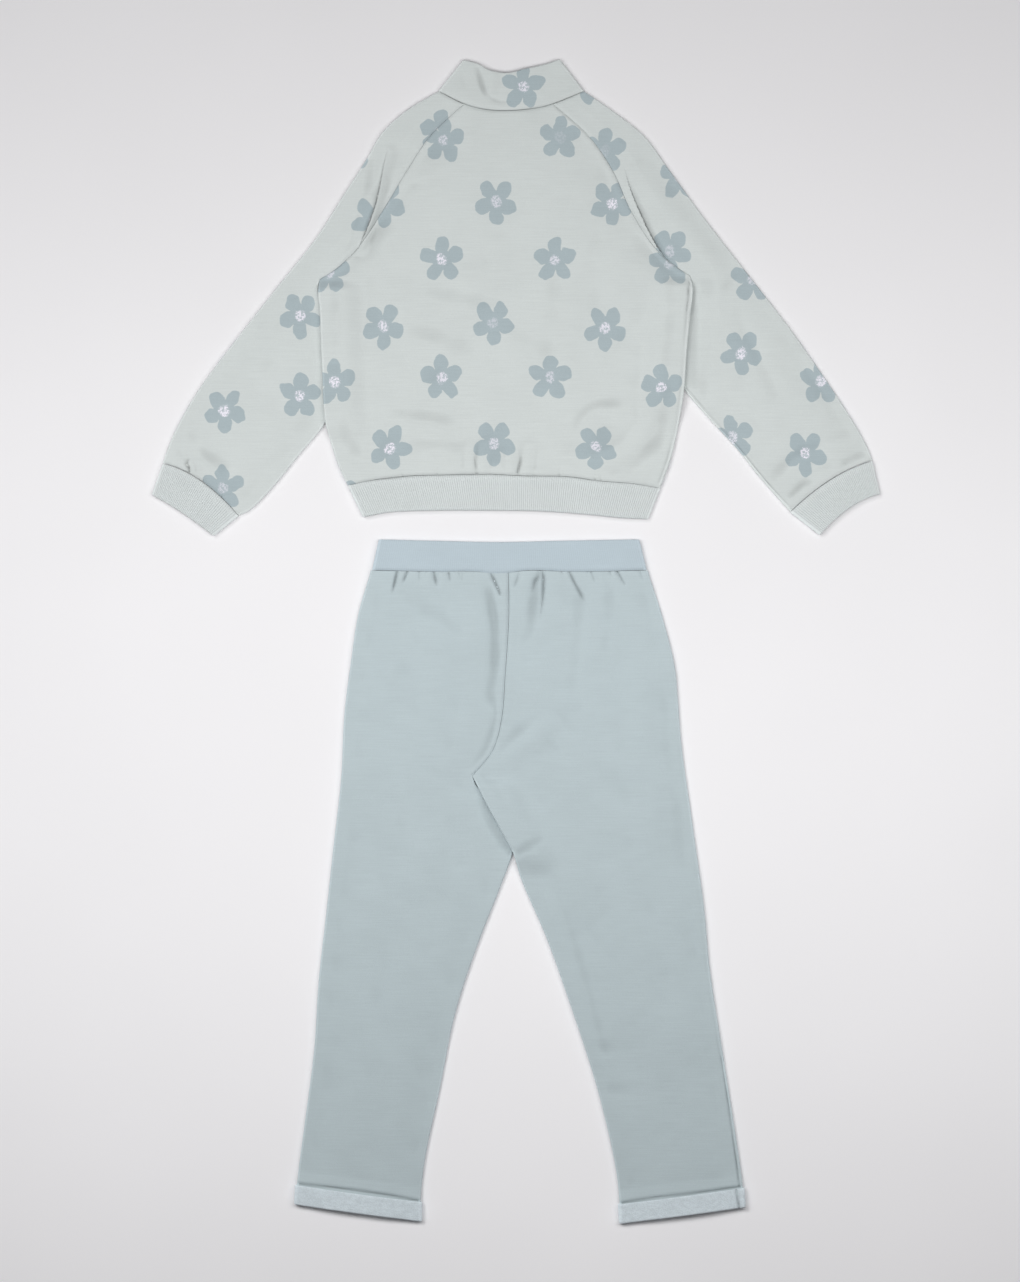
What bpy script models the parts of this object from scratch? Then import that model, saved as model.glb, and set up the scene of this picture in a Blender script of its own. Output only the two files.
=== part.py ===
"""A child's tracksuit laid flat with its back up: a raglan sweatshirt above a pair of trousers.

Run it with blender --background --python part.py, or from Blender's text editor.
The tables are in millimetres: x to the right, y towards the collar, z up from the surface.
The last step moves the set so that the middle of its underside is the origin.
"""

import math
from collections import namedtuple

import bmesh
import bpy

MM = 0.001

# Cloth, as walls of real thickness
FLEECE = 1.6
RIB_CLOTH = 2.4
WAIST_CLOTH = 3.0
COLLAR_CLOTH = 2.6
SEAM_GAP = 0.3
SIDE_GAP = 0.5
END_GAP = 0.45

# The outer radius where each flat tube folds over
FLEECE_FOLD = 2.5
RIB_FOLD = 3.0
WAIST_FOLD = 3.9
COLLAR_FOLD = 3.1

# How far the upper layer swells away from the edges
BODY_SWELL = 2.2
SLEEVE_SWELL = 1.8
LEG_SWELL = 1.8
SWELL_START = 8.0
SWELL_SPAN = 37.0

# Cloth that lies on a tucked layer is raised by two layers and a little air
TUCK_LIFT = 2 * FLEECE_FOLD + 0.8
TUCK_FULL = 22.0
TUCK_END = 47.0

RIB_PITCH = 2.34
RIB_HEIGHT = 0.45
WAIST_ROUNDING = 0.9
WAIST_PUFF = 0.3
COLLAR_ROUNDING = 0.8
FRONT_NECK_DROP = 32.0
FRONT_NECK_ROUNDNESS = 1.5

# A turn-up, and the end of the leg inside it: its last section lies this far above the fold
TURNUP_HEIGHT = 20.5
TURNUP_LAYER = FLEECE + SEAM_GAP
TURNUP_RAMP = 14.0
TURNUP_REACH = 1.5
LEG_END = 2.4
# Where a leg's outer and inner edges are read for the ends of its turn-up's top line
TURNUP_OUTER_Y = -575
TURNUP_INNER_Y = -590

# Steps along the raglan seams, from the neck to the armpit
RAGLAN_STEPS = (0, 0.1, 0.2, 0.32, 0.45, 0.58, 0.7, 0.8, 0.88, 0.95, 1)

# Edges and seams, each a row for one point: (y, x)
RAGLAN_LEFT = (
    (564.5, -54.5), (534, -87.5), (500, -111), (457, -137), (413.5, -165.5),
    (400.5, -178.5), (389.5, -191.5), (380.5, -206),
)
RAGLAN_RIGHT = (
    (564.5, 38.5), (532.5, 74.5), (496, 100.5), (450.5, 121.5), (413.5, 145.5),
    (400.5, 158.5), (391.5, 171.5), (384.5, 182.5),
)
BODY_LEFT = (
    (380.5, -206), (368, -207.5), (351, -206), (315, -204.5), (280.5, -203),
    (254.5, -202), (230.5, -200), (208, -194), (184, -186), (164, -176.5),
)
BODY_RIGHT = (
    (384.5, 182.5), (372, 185), (341, 182.5), (300.5, 179), (270.5, 177),
    (247, 174), (224.5, 170), (193.5, 163), (161.2, 151.5),
)
SLEEVE_LEFT_OUTER = (
    (578, -81.5), (558, -114.5), (535, -140), (508, -156), (473, -178.5), (423, -210.5),
    (375, -248.5), (317, -294), (262.5, -334.5), (210.5, -362.5), (187.5, -370.7),
)
SLEEVE_LEFT_TUCK = (
    (380.5, -206), (368, -207.5), (345, -200), (310, -191), (270, -190), (245, -195),
    (230.5, -200), (196, -228), (164, -254), (142, -275), (136, -283), (132.5, -291),
)
SLEEVE_RIGHT_OUTER = (
    (578, 71.5), (558, 100.5), (532.5, 133), (498.5, 158.5), (445.5, 197), (394, 237),
    (333, 284.5), (298.5, 309), (254.5, 339), (208, 367), (190.5, 374.1),
)
SLEEVE_RIGHT_TUCK = (
    (384.5, 182.5), (372, 185), (350, 177), (320, 169), (290, 167.5), (272, 172.5),
    (264.5, 177), (234.5, 202.5), (202, 232.5), (172, 256.5), (136.5, 287.7),
)
LEG_LEFT_OUTER = (
    (75.5, -152), (29, -165.5), (-19, -173), (-75, -180), (-143.5, -183.5), (-210, -191),
    (-288, -199.5), (-355, -207), (-425, -211.5), (-504, -221.5), (-566, -229.5), (-610, -232),
)
LEG_RIGHT_OUTER = (
    (75.5, 138), (25, 154), (-28, 167), (-61, 170), (-106, 173.5), (-193, 185.5),
    (-284, 198), (-339.5, 203), (-444, 219), (-534, 233), (-567, 237.5), (-610, 240),
)
CENTRE_SEAM = (
    (75.5, -8), (29, -7.5), (-37, -11.5), (-80, -15), (-112.5, -24), (-127, -34), (-140.5, -46),
)
LEG_RIGHT_INNER = (
    (-140.5, -46), (-153, -39.5), (-166, -33), (-202, -13.5), (-221.5, -3), (-247.5, 5),
    (-308, 31), (-382, 57.5), (-452, 80.5), (-486, 90), (-560.5, 106), (-610, 110),
)
LEG_LEFT_INNER = (
    (-140.5, -46), (-153, -39.5), (-166, -19), (-187, -5), (-208, -2.5), (-221.5, -3.8),
    (-252, -14.5), (-317, -40), (-387, -63), (-469, -80), (-546, -96), (-584, -100), (-610, -100.5),
)

# Seams and edges that run across, each a row for one point: (x, y)
NECK_SEAM = (
    (-81.5, 578.3), (-54.5, 565), (-31, 559), (-7, 557.8), (19.5, 560.5), (38.5, 565), (71.5, 578.1),
)
COLLAR_TOP = (
    (-55.5, 610.5), (-40, 606.5), (-27, 599.5), (-8.5, 597), (11, 601.5), (33, 606.7), (46, 611.5),
)
HEM_SEAM = (
    (-176.5, 164), (-156.5, 168.5), (-114.5, 173.8), (-72, 175.2), (-30, 175.8), (12.5, 174),
    (54.5, 173.2), (88, 168.7), (122, 166), (151.5, 161.2),
)
HEM_EDGE = (
    (-160.7, 130.8), (-134, 135.9), (-86, 137.9), (-30, 138), (26.5, 137.2), (82.5, 133),
    (110.5, 130.2), (138.8, 128.8),
)
WAIST_EDGE = ((-144, 107.6), (-86, 106.1), (-20, 104.8), (46.5, 106.1), (129.5, 107.6))
WAIST_SEAM = ((-151, 75.6), (-80, 73.8), (-8, 73.1), (60, 73.8), (137.2, 75.6))
TURNUP_LEFT_TOP = ((-233, -569), (-173, -575.3), (-130, -581.7), (-99, -587.6))
TURNUP_RIGHT_TOP = ((108, -590), (147, -583.4), (184.5, -579), (216.5, -575.8), (242, -571.5))

# Where the body lies on a sleeve's tucked edge: the lift starts, is full, is full no more, and ends
Tuck = namedtuple("Tuck", "top full_top full_end end")
TUCK_LEFT = Tuck(380.5, 368, 230, 205)
TUCK_RIGHT = Tuck(384.5, 372, 262, 222)
LEG_TUCK = Tuck(-140.5, -153, -221.5, -247.5)

# Sleeve sections below the armpit, and the outer edge's y for an inner edge's y: (inner y, outer y)
SLEEVE_LEFT_PAIRS = (
    (564.5, 578), (534, 556), (478, 508), (413, 446), (380.5, 399), (368, 385), (345, 363),
    (310, 334), (270, 300), (245, 275), (230.5, 262.5), (196, 236), (164, 213), (142, 198),
    (136, 192.5), (132.5, 187.5),
)
SLEEVE_RIGHT_PAIRS = (
    (564.5, 578), (532.5, 558), (496, 526), (450.5, 482), (413.5, 445), (384.5, 411), (372, 398),
    (350, 378), (320, 352), (290, 322), (264.5, 297), (234.5, 264), (202, 233), (172, 211),
    (150, 199), (136.5, 190.5),
)
SLEEVE_LEFT_BELOW = (368, 345, 310, 270, 245, 230.5, 196, 164, 142, 136, 132.5)
SLEEVE_RIGHT_BELOW = (372, 350, 320, 290, 264.5, 234.5, 202, 172, 150, 136.5)

# Body sections below the armpits: (left y, right y, share of the hem seam's bow)
BODY_BELOW = (
    (368, 372, 0), (345, 345, 0), (310, 308, 0), (270, 285, 0.05), (245, 262, 0.12), (230, 240, 0.25),
    (205, 215, 0.5), (189, 194, 0.75), (177, 178, 0.9), (168, 166, 1), (164, 161.2, 1),
)
# Sections near the neck take a share of the neck seam's bow, one number a section
NECK_SHARE = (1, 0.8, 0.55, 0.3, 0.1)
FRONT_NECK_SHARE = (1, 0.85, 0.7, 0.5, 0.3, 0.1)
# The last sections of a sleeve take a share of its cuff seam's bow, the seam first
CUFF_SHARE = (1, 0.9, 0.75, 0.4, 0.15)

# Leg sections above the crotch point, then below it: (outer y, inner y)
LEG_ABOVE = (
    (75.5, 75.5), (70, 70), (61, 61), (48, 48), (18, 16), (-28, -26), (-70, -64), (-104, -92),
    (-122, -112.5), (-136, -127), (-149, -140.5),
)
LEG_BELOW = (
    (-162, -153), (-177, -166), (-199, -187), (-219, -208), (-234, -221.5), (-255, -247.5),
    (-310, -308), (-382, -382), (-452, -452), (-510, -515),
)
# The first and last sections that the gathers at a waist and at the hem seam reach
WAIST_GATHER_ROWS = (0, 3)
HEM_GATHER_ROWS = (len(RAGLAN_STEPS) + len(BODY_BELOW) - 4, len(RAGLAN_STEPS) + len(BODY_BELOW) - 1)

Fold = namedtuple("Fold", "x0 y0 x1 y1 width start end")
SWEATSHIRT_FOLDS = (
    Fold(-137, 505, -162, 418, 13, 1.2, 2.6),
    Fold(-155, 505, -154, 470, 12, -0.8, -0.8),
    Fold(116, 489, 126, 456, 9, -0.6, -1.0),
    Fold(126, 456, 168, 396, 10, -1.0, -0.8),
    Fold(142, 478, 205, 398, 24, 1.6, 2.4),
    Fold(-100, 486, -61, 501, 20, 1.2, 0.8),
    Fold(-96, 382, -40, 372, 20, 0.9, 0.6),
    Fold(-107, 333, -68, 323, 18, -0.7, -0.6),
    Fold(-114, 225, -59, 222, 18, 0.9, 1.1),
    Fold(68, 232, 84, 250, 16, 1.0, 1.2),
    Fold(84, 250, 112, 253, 16, 1.2, 0.8),
    Fold(100, 176, 147, 203, 16, 1.3, 1.0),
    Fold(-158, 190, -132, 178, 14, 1.1, 1.0),
    Fold(-150, 186, 130, 184, 20, 1.3, 1.3),
)
LEG_FOLDS = (
    Fold(-29, 58, -22, 18, 12, -0.9, -0.9),
    Fold(-22, 18, -27, -58, 13, -0.9, -0.4),
    Fold(-18, -128, 29, -89, 18, 1.6, 1.2),
    Fold(39, -89, 59, -108, 16, 0.9, 0.9),
    Fold(3, -219, 33, -208, 16, -0.8, -0.5),
    Fold(24, -250, 89, -447, 16, 0.9, 0.8),
    Fold(-150, 66, 137, 66, 20, 1.3, 1.3),
)
HEM_GATHERS = (
    Fold(-134, 174, -133, 184, 4, 1.0, 0),
    Fold(-80, 176, -79, 188, 4, 1.2, 0),
    Fold(-43, 177, -41, 204, 5, 1.8, 0),
    Fold(2, 176, 5, 197, 4, 2.0, 0),
    Fold(46, 175, 46, 186, 4, 1.0, 0),
    Fold(84, 170, 83, 180, 5, 1.4, 0),
    Fold(118, 168, 122, 180, 4, 1.2, 0),
)
WAIST_GATHERS = (
    Fold(-139, 75, -141, 62, 3.5, 1.0, 0),
    Fold(-126, 75, -129, 54, 4, 1.8, 0),
    Fold(-114.5, 74, -118, 60, 3.5, 1.5, 0),
    Fold(-96, 74, -96, 64, 3, 1.0, 0),
    Fold(-86, 74, -84, 60, 3.5, 1.6, 0),
    Fold(-70, 73, -69, 62, 3.5, 1.4, 0),
    Fold(-58, 73, -57, 63, 3, 1.0, 0),
    Fold(-41, 73, -42, 58, 3.5, 1.1, 0),
    Fold(-26, 73, -18, 52, 4, 2.2, 0),
    Fold(4, 73, 1, 58, 3.5, 1.2, 0),
    Fold(16, 73, 12, 55, 4, 1.5, 0),
    Fold(28, 73, 25, 30, 4, 2.2, 0),
    Fold(57, 74, 67, 51, 4, 2.1, 0),
    Fold(78, 74, 82, 61, 3.5, 1.5, 0),
    Fold(98, 75, 102, 66, 3, 1.1, 0),
    Fold(106, 75, 113, 61, 3.5, 1.6, 0),
    Fold(126, 75, 129, 62, 3.5, 1.0, 0),
)

# A cuff's corners: outer and inner ends of its seam, then of its free edge, and the bows of both
Cuff = namedtuple("Cuff", "seam_outer seam_inner edge_outer edge_inner seam_bow edge_bow")
CUFF_LEFT = Cuff((-370.7, 187), (-291, 132), (-382.3, 154.5), (-317, 111), 9.5, 2.4)
CUFF_RIGHT = Cuff((374.1, 190), (287.7, 136), (382.1, 155), (318.5, 111.8), 7.5, 7.5)

# Seen colours, as sRGB
SAGE = (203, 211, 209)
RIB_SAGE = (204, 212, 210)
BLUE_GREY = (180, 196, 201)
WRONG_SIDE = (190, 204, 212)

TOP_ACROSS = (0, 0.03, 0.055, 0.12, 0.2, 0.3, 0.4, 0.5, 0.6, 0.7, 0.8, 0.88, 0.945, 0.97, 1)
LEG_ACROSS = (0, 0.08, 0.16, 0.28, 0.42, 0.58, 0.72, 0.84, 0.92, 1)
LEG_UNDER_ACROSS = (0, 0.08, 0.16, 0.28, 0.5, 0.72, 0.84, 0.92, 1)
SLEEVE_ACROSS = (0, 0.12, 0.26, 0.42, 0.58, 0.74, 0.88, 1)
PLAIN_ACROSS = (0, 0.2, 0.5, 0.8, 1)
BAND_ACROSS = (0, 0.08, 0.2, 0.35, 0.5, 0.65, 0.8, 0.92, 1)

# The neck seam's ends, and where it meets the two raglan seams
NECK_ENDS = ((-81.5, 578.3), (71.5, 578.1))
NECK_RAGLANS = ((-54.5, 564.5), (38.5, 564.5))
HEM_ENDS = ((-176.5, 164), (151.5, 161.2))
COLLAR_ENDS = ((-55.5, 610.5), (46, 611.5))
COLLAR_SIDE_PLACES = (-68, -59, 43, 56)
# Sections of the collar: share of the way up, and how far the outer surface is drawn in
COLLAR_ROWS = ((0, 0), (0.5, 0), (0.97, 0), (1, COLLAR_ROUNDING))
# Sections of the waistband: share of the way down, how far it is drawn in, and how far it swells
WAIST_ROWS = ((0, WAIST_ROUNDING, 0), (0.04, 0, 0), (0.5, 0, WAIST_PUFF), (1, 0, 0))


def through(points):
    """A smooth curve through (place, value) rows, as a function of the place."""
    rows = sorted(points)
    spans = [(b[1] - a[1]) / (b[0] - a[0]) for a, b in zip(rows, rows[1:])]
    slopes = [spans[0], *((a + b) / 2 for a, b in zip(spans, spans[1:])), spans[-1]]

    def value_at(place):
        place = min(max(place, rows[0][0]), rows[-1][0])
        index = next((k for k in range(len(spans)) if place <= rows[k + 1][0]), len(spans) - 1)
        (start, low), (end, high) = rows[index], rows[index + 1]
        length = end - start
        t = (place - start) / length
        bend_low = slopes[index] * length
        bend_high = slopes[index + 1] * length
        return (
            low * (1 + 2 * t) * (1 - t) ** 2
            + bend_low * t * (1 - t) ** 2
            + high * t * t * (3 - 2 * t)
            + bend_high * t * t * (t - 1)
        )

    return value_at


def smooth_step(value):
    value = min(max(value, 0), 1)
    return value * value * (3 - 2 * value)


def between(start, end, share):
    return start + (end - start) * share


def fold_height(fold, x, y):
    """The height of one soft fold above the plain cloth at a point, below it where negative."""
    run_x, run_y = fold.x1 - fold.x0, fold.y1 - fold.y0
    along = ((x - fold.x0) * run_x + (y - fold.y0) * run_y) / (run_x**2 + run_y**2)
    along = min(max(along, 0), 1)
    away = math.hypot(x - fold.x0 - along * run_x, y - fold.y0 - along * run_y)
    if away >= fold.width:
        return 0
    return between(fold.start, fold.end, along) * math.cos(math.pi / 2 * away / fold.width) ** 2


def relief(folds):
    return lambda x, y: sum(fold_height(fold, x, y) for fold in folds)


def flat(*_):
    return 0


raglan_left, raglan_right = through(RAGLAN_LEFT), through(RAGLAN_RIGHT)
body_left, body_right = through(BODY_LEFT), through(BODY_RIGHT)
neck_seam, hem_seam = through(NECK_SEAM), through(HEM_SEAM)
waist_seam = through(WAIST_SEAM)
leg_right_inner = through(LEG_RIGHT_INNER)
turnup_left_top, turnup_right_top = through(TURNUP_LEFT_TOP), through(TURNUP_RIGHT_TOP)


def tuck_lift(tuck, inward, y):
    """How far cloth is raised at a distance inward from its edge, where it lies on a tucked edge."""
    share = min((tuck.top - y) / (tuck.top - tuck.full_top), (y - tuck.end) / (tuck.full_end - tuck.end), 1)
    away = (TUCK_END - inward) / (TUCK_END - TUCK_FULL)
    return TUCK_LIFT * max(share, 0) * min(max(away, 0), 1)


def body_low(x, y):
    """How far the body's underside is raised where it lies on the sleeves' tucked edges."""
    return max(tuck_lift(TUCK_LEFT, x - body_left(y), y), tuck_lift(TUCK_RIGHT, body_right(y) - x, y))


def turnup_low(top_line, x, y):
    """How far a leg's underside is raised by the turned-up layer beneath it."""
    return TURNUP_LAYER * min(max(1 - (y - top_line(x)) / TURNUP_RAMP, 0), 1)


def leg_right_low(x, y):
    """The right leg lies on the left leg between the crotch point and the notch."""
    lift = tuck_lift(LEG_TUCK, x - leg_right_inner(y), y)
    return max(lift, turnup_low(turnup_right_top, x, y))


def leg_left_low(x, y):
    return turnup_low(turnup_left_top, x, y)


# A place round a section: its run, where along it, a shift in z at a seam and a raised rib.
# A column with rows is only in those sections of the outer surface.
Column = namedtuple("Column", "run value shift raised rows", defaults=(0, 0, None))


class Station:
    """One section across a flat tube, from its left edge a to its right edge b."""

    def __init__(self, a, b, fold, **options):
        self.a, self.b, self.fold = a, b, fold
        self.width = math.dist(a, b)
        self.bow = options.get("bow", lambda x, share: 0)
        self.under_bow = options.get("under_bow", self.bow)
        self.low = options.get("low", flat)
        self.swell = options.get("swell", 0)
        self.broad = options.get("broad", flat)
        self.fine = options.get("fine", flat)
        self.open_a = options.get("open_a", 0)
        self.open_b = options.get("open_b", 0)
        self.depth = options.get("depth", 0)
        self.inner_depth = options.get("inner_depth", FLEECE)
        self.edge_layer = options.get("edge_layer", 0)
        self.inner_back = options.get("inner_back", 0)

    def place(self, across, under):
        share = across / self.width
        x = between(self.a[0], self.b[0], share)
        y = between(self.a[1], self.b[1], share)
        bow = self.under_bow if under else self.bow
        return x, y + bow(x, share)

    def puff(self, x, y, across, outer):
        inward = min(across, self.width - across) - self.edge_layer
        height = self.swell * smooth_step((inward - SWELL_START) / SWELL_SPAN)
        return height + self.broad(x, y) + (self.fine(x, y) if outer else 0)

    def point(self, column, outer):
        """The outer or inner surface's point at a column, in metres."""
        radius = self.fold
        depth = self.depth if outer else self.inner_depth
        if column.run in ("top", "under"):
            across = radius + column.value * (self.width - 2 * radius)
            rise = 1 if column.run == "top" else -1
            height = rise * (radius - depth)
        else:
            angle = math.radians(column.value)
            opened = self.open_a if column.run == "fold_a" else self.open_b
            rise = math.sin(angle)
            side = 1 if column.value + column.shift > 0 else -1
            reach = radius - (radius - depth * (1 - opened)) * math.cos(angle)
            height = between((radius - depth) * rise, side * (radius - depth), opened)
            rise = between(rise, side, opened)
            across = reach if column.run == "fold_a" else self.width - reach
        x, y = self.place(across, rise < 0)
        y += 0 if outer else self.inner_back
        z = self.low(x, y) + radius + height + column.shift * (1 if abs(rise) < 0.5 else 0)
        if rise > 0:
            z += rise * self.puff(x, y, across, outer)
        if outer:
            z += column.raised
        return x * MM, y * MM, z * MM


def upper_columns(across, extra=()):
    """Columns of a panel that is the upper layer, from its left edge to its right edge."""
    tops = [Column("top", share) for share in across] + list(extra)
    tops.sort(key=lambda column: column.value)
    half = SEAM_GAP / 2
    left = [Column("fold_a", 0, half), Column("fold_a", 45)]
    right = [Column("fold_b", 45), Column("fold_b", 0, half)]
    return left + tops + right


def under_columns(across):
    half = SEAM_GAP / 2
    left = [Column("fold_a", 0, -half), Column("fold_a", -45)]
    right = [Column("fold_b", -45), Column("fold_b", 0, -half)]
    return left + [Column("under", share) for share in across] + right


def round_columns(slit, across, under=PLAIN_ACROSS, extra=()):
    """Columns all round a flat tube whose seam lies at the fold on the slit's side, a or b."""
    near, far = ("fold_b", "fold_a") if slit == "b" else ("fold_a", "fold_b")
    half = SEAM_GAP / 2
    tops = [Column("top", share) for share in across] + list(extra)
    tops.sort(key=lambda column: column.value, reverse=slit == "b")
    unders = [Column("under", share) for share in sorted(under, reverse=slit != "b")]
    start = [Column(near, 0, half), Column(near, 45)]
    turn = [Column(far, 45), Column(far, 0), Column(far, -45)]
    end = [Column(near, -45), Column(near, 0, -half)]
    return start + tops + turn + unders + end


def rib_columns(width):
    """Raised ribs across the upper side of a band, as pairs of a valley and a crest."""
    count = round(width / RIB_PITCH)
    steps = range(1, 2 * count)
    return [Column("top", k / (2 * count), 0, RIB_HEIGHT * (k % 2), "ribs") for k in steps]


def gather_columns(gathers, a_x, b_x, rows):
    """Three columns for each gather that lies between the two edges."""
    columns = []
    for gather in gathers:
        for shift in (-gather.width, 0, gather.width):
            share = (gather.x0 + shift - a_x) / (b_x - a_x)
            if 0.02 < share < 0.98:
                columns.append(Column("top", share, 0, 0, rows))
    return columns


def join_rows(mesh, first, second):
    """Fills the strip between two rows of (key, vertex), cell by cell between the keys they share."""
    shared = sorted({key for key, _ in first} & {key for key, _ in second})
    for start, end in zip(shared, shared[1:]):
        there = [vertex for key, vertex in first if start <= key <= end]
        back = [vertex for key, vertex in second if start <= key <= end]
        mesh.faces.new(there + back[::-1])


def wall(name, stations, columns, material):
    """A closed wall of cloth: outer and inner surfaces through the stations, joined at the rims."""
    mesh = bmesh.new()
    outer, inner = [], []
    for number, station in enumerate(stations):
        outer_row, inner_row = [], []
        for key, column in enumerate(columns):
            rows = column.rows
            if rows in (None, "ribs") or rows[0] <= number <= rows[1]:
                outer_row.append((key, mesh.verts.new(station.point(column, True))))
            if rows is None:
                inner_row.append((key, mesh.verts.new(station.point(column, False))))
        outer.append(outer_row)
        inner.append(inner_row)
    for rows in (outer, inner):
        for first, second in zip(rows, rows[1:]):
            join_rows(mesh, first, second)
    for index in (0, -1):
        join_rows(mesh, outer[index], inner[index])
        for k in range(len(stations) - 1):
            corners = (outer[k], outer[k + 1], inner[k + 1], inner[k])
            mesh.faces.new([row[index][1] for row in corners])
    bmesh.ops.recalc_face_normals(mesh, faces=mesh.faces)
    data = bpy.data.meshes.new(name)
    mesh.to_mesh(data)
    mesh.free()
    data.shade_smooth()
    data.set_sharp_from_angle(angle=math.radians(50))
    data.materials.append(material)
    piece = bpy.data.objects.new(name, data)
    bpy.context.scene.collection.objects.link(piece)
    return piece


def cloth(name, seen, roughness=0.9):
    material = bpy.data.materials.new(name)
    material.use_nodes = True
    shader = material.node_tree.nodes["Principled BSDF"]
    linear = [((part / 255 + 0.055) / 1.055) ** 2.4 for part in seen]
    shader.inputs["Base Color"].default_value = (*linear, 1)
    shader.inputs["Roughness"].default_value = roughness
    shader.inputs["Metallic"].default_value = 0
    return material


def shared_bow(shares, line, a, b, gap):
    """A section's bow, worked out from a seam across: its share of the seam's height over its chord."""
    chord = through(((a[0], line(a[0])), (b[0], line(b[0]))))

    def bow(x, share):
        place = between(a[0], b[0], share)
        return shares * (line(place) - chord(place)) + gap

    return bow


def neck_drop(share):
    return FRONT_NECK_DROP * math.sin(math.pi * min(max(share, 0), 1)) ** FRONT_NECK_ROUNDNESS


def body_stations(front):
    """Sections of the body from the neck seam to the hem seam, for the front or the back panel."""
    stations = []
    top_left, top_right = NECK_RAGLANS
    hem_left, hem_right = HEM_ENDS
    left_end, right_end = RAGLAN_LEFT[-1][0], RAGLAN_RIGHT[-1][0]
    sections = []
    for number, step in enumerate(RAGLAN_STEPS):
        left_y = between(top_left[1], left_end, step)
        right_y = between(top_right[1], right_end, step)
        a = (raglan_left(left_y) + SIDE_GAP / 2, left_y)
        b = (raglan_right(right_y) - SIDE_GAP / 2, right_y)
        sections.append((a, b, 1, number, 0))
    for left_y, right_y, hem_share in BODY_BELOW:
        a, b = (body_left(left_y), left_y), (body_right(right_y), right_y)
        sections.append((a, b, 0, len(FRONT_NECK_SHARE), hem_share))
    for a, b, opened, number, hem_share in sections:
        neck_share = NECK_SHARE[number] if number < len(NECK_SHARE) else 0
        drop_share = FRONT_NECK_SHARE[number] if front and number < len(FRONT_NECK_SHARE) else 0
        if number == 0:
            end_gap = -END_GAP
        else:
            end_gap = END_GAP if a[1] == hem_left[1] else 0
        neck_bow = shared_bow(neck_share, neck_seam, top_left, top_right, end_gap)
        hem_bow = shared_bow(hem_share, hem_seam, hem_left, hem_right, 0)

        def bow(x, share, neck_bow=neck_bow, hem_bow=hem_bow, drop_share=drop_share):
            return neck_bow(x, share) + hem_bow(x, share) - drop_share * neck_drop(share)

        stations.append(
            Station(
                a, b, FLEECE_FOLD, bow=bow, low=body_low, swell=BODY_SWELL,
                broad=relief(SWEATSHIRT_FOLDS), fine=relief(HEM_GATHERS), open_a=opened, open_b=opened,
            )
        )
    return stations


def parabola(height, gap=0):
    return lambda x, share: height * 4 * share * (1 - share) + gap


def sleeve_stations(left):
    """Sections of a sleeve from the neck to the cuff seam, open along the raglan seam."""
    outer = through(SLEEVE_LEFT_OUTER if left else SLEEVE_RIGHT_OUTER)
    tuck = through(SLEEVE_LEFT_TUCK if left else SLEEVE_RIGHT_TUCK)
    raglan = raglan_left if left else raglan_right
    outer_y = through(SLEEVE_LEFT_PAIRS if left else SLEEVE_RIGHT_PAIRS)
    below = SLEEVE_LEFT_BELOW if left else SLEEVE_RIGHT_BELOW
    cuff = CUFF_LEFT if left else CUFF_RIGHT
    armpit = (RAGLAN_LEFT if left else RAGLAN_RIGHT)[-1][0]
    away = -SIDE_GAP / 2 if left else SIDE_GAP / 2
    sections = []
    for step in RAGLAN_STEPS:
        y = between(RAGLAN_LEFT[0][0], armpit, step)
        sections.append(((raglan(y) + away, y), 1))
    for y in below:
        beside = away if y == below[0] else 0
        sections.append(((tuck(y) + beside, y), 0))
    stations = []
    for number, (inner_point, opened) in enumerate(sections):
        level = outer_y(inner_point[1])
        outer_point = (outer(level), level)
        a, b = (outer_point, inner_point) if left else (inner_point, outer_point)
        last = len(sections) - 1 - number
        bow_share = CUFF_SHARE[last] if last < len(CUFF_SHARE) else 0
        bow = parabola(cuff.seam_bow * bow_share, END_GAP if last == 0 else 0)
        if number == 0:
            bow = shared_bow(1, neck_seam, a, b, -END_GAP)
        stations.append(
            Station(
                a, b, FLEECE_FOLD, bow=bow, swell=SLEEVE_SWELL, broad=relief(SWEATSHIRT_FOLDS),
                open_a=0 if left else opened, open_b=opened if left else 0,
            )
        )
    return stations


def cuff_stations(cuff, left):
    rows = (
        (cuff.seam_outer, cuff.seam_inner, cuff.seam_bow),
        (cuff.edge_outer, cuff.edge_inner, cuff.edge_bow),
    )
    stations = []
    for outer, inner, height in rows:
        a, b = (outer, inner) if left else (inner, outer)
        stations.append(Station(a, b, RIB_FOLD, bow=parabola(height), inner_depth=RIB_CLOTH))
    return stations


def line_station(line, a_x, b_x, fold, **options):
    """A section whose y follows a seam or an edge that runs across."""
    a, b = (a_x, line(a_x)), (b_x, line(b_x))
    return Station(a, b, fold, bow=shared_bow(1, line, a, b, 0), **options)


def collar_stations():
    """Sections of the stand collar from the neck seam to its top edge. Its front half lies lower."""
    stations = []
    top = through(COLLAR_TOP)
    bottom_a, bottom_b = NECK_ENDS
    top_a, top_b = COLLAR_ENDS
    (left_x, _), (right_x, _) = NECK_RAGLANS
    for height, depth in COLLAR_ROWS:
        a = tuple(between(start, end, height) for start, end in zip(bottom_a, top_a))
        b = tuple(between(start, end, height) for start, end in zip(bottom_b, top_b))

        def back_bow(x, share, height=height, a=a, b=b):
            low = neck_seam(between(bottom_a[0], bottom_b[0], share))
            high = top(between(top_a[0], top_b[0], share))
            return between(low, high, height) - between(a[1], b[1], share)

        def front_bow(x, share, back_bow=back_bow):
            place = between(bottom_a[0], bottom_b[0], share)
            return back_bow(x, share) - neck_drop((place - left_x) / (right_x - left_x))

        stations.append(
            Station(
                a, b, COLLAR_FOLD, bow=back_bow, under_bow=front_bow, depth=depth,
                inner_depth=COLLAR_CLOTH - depth,
            )
        )
    return stations


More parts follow.
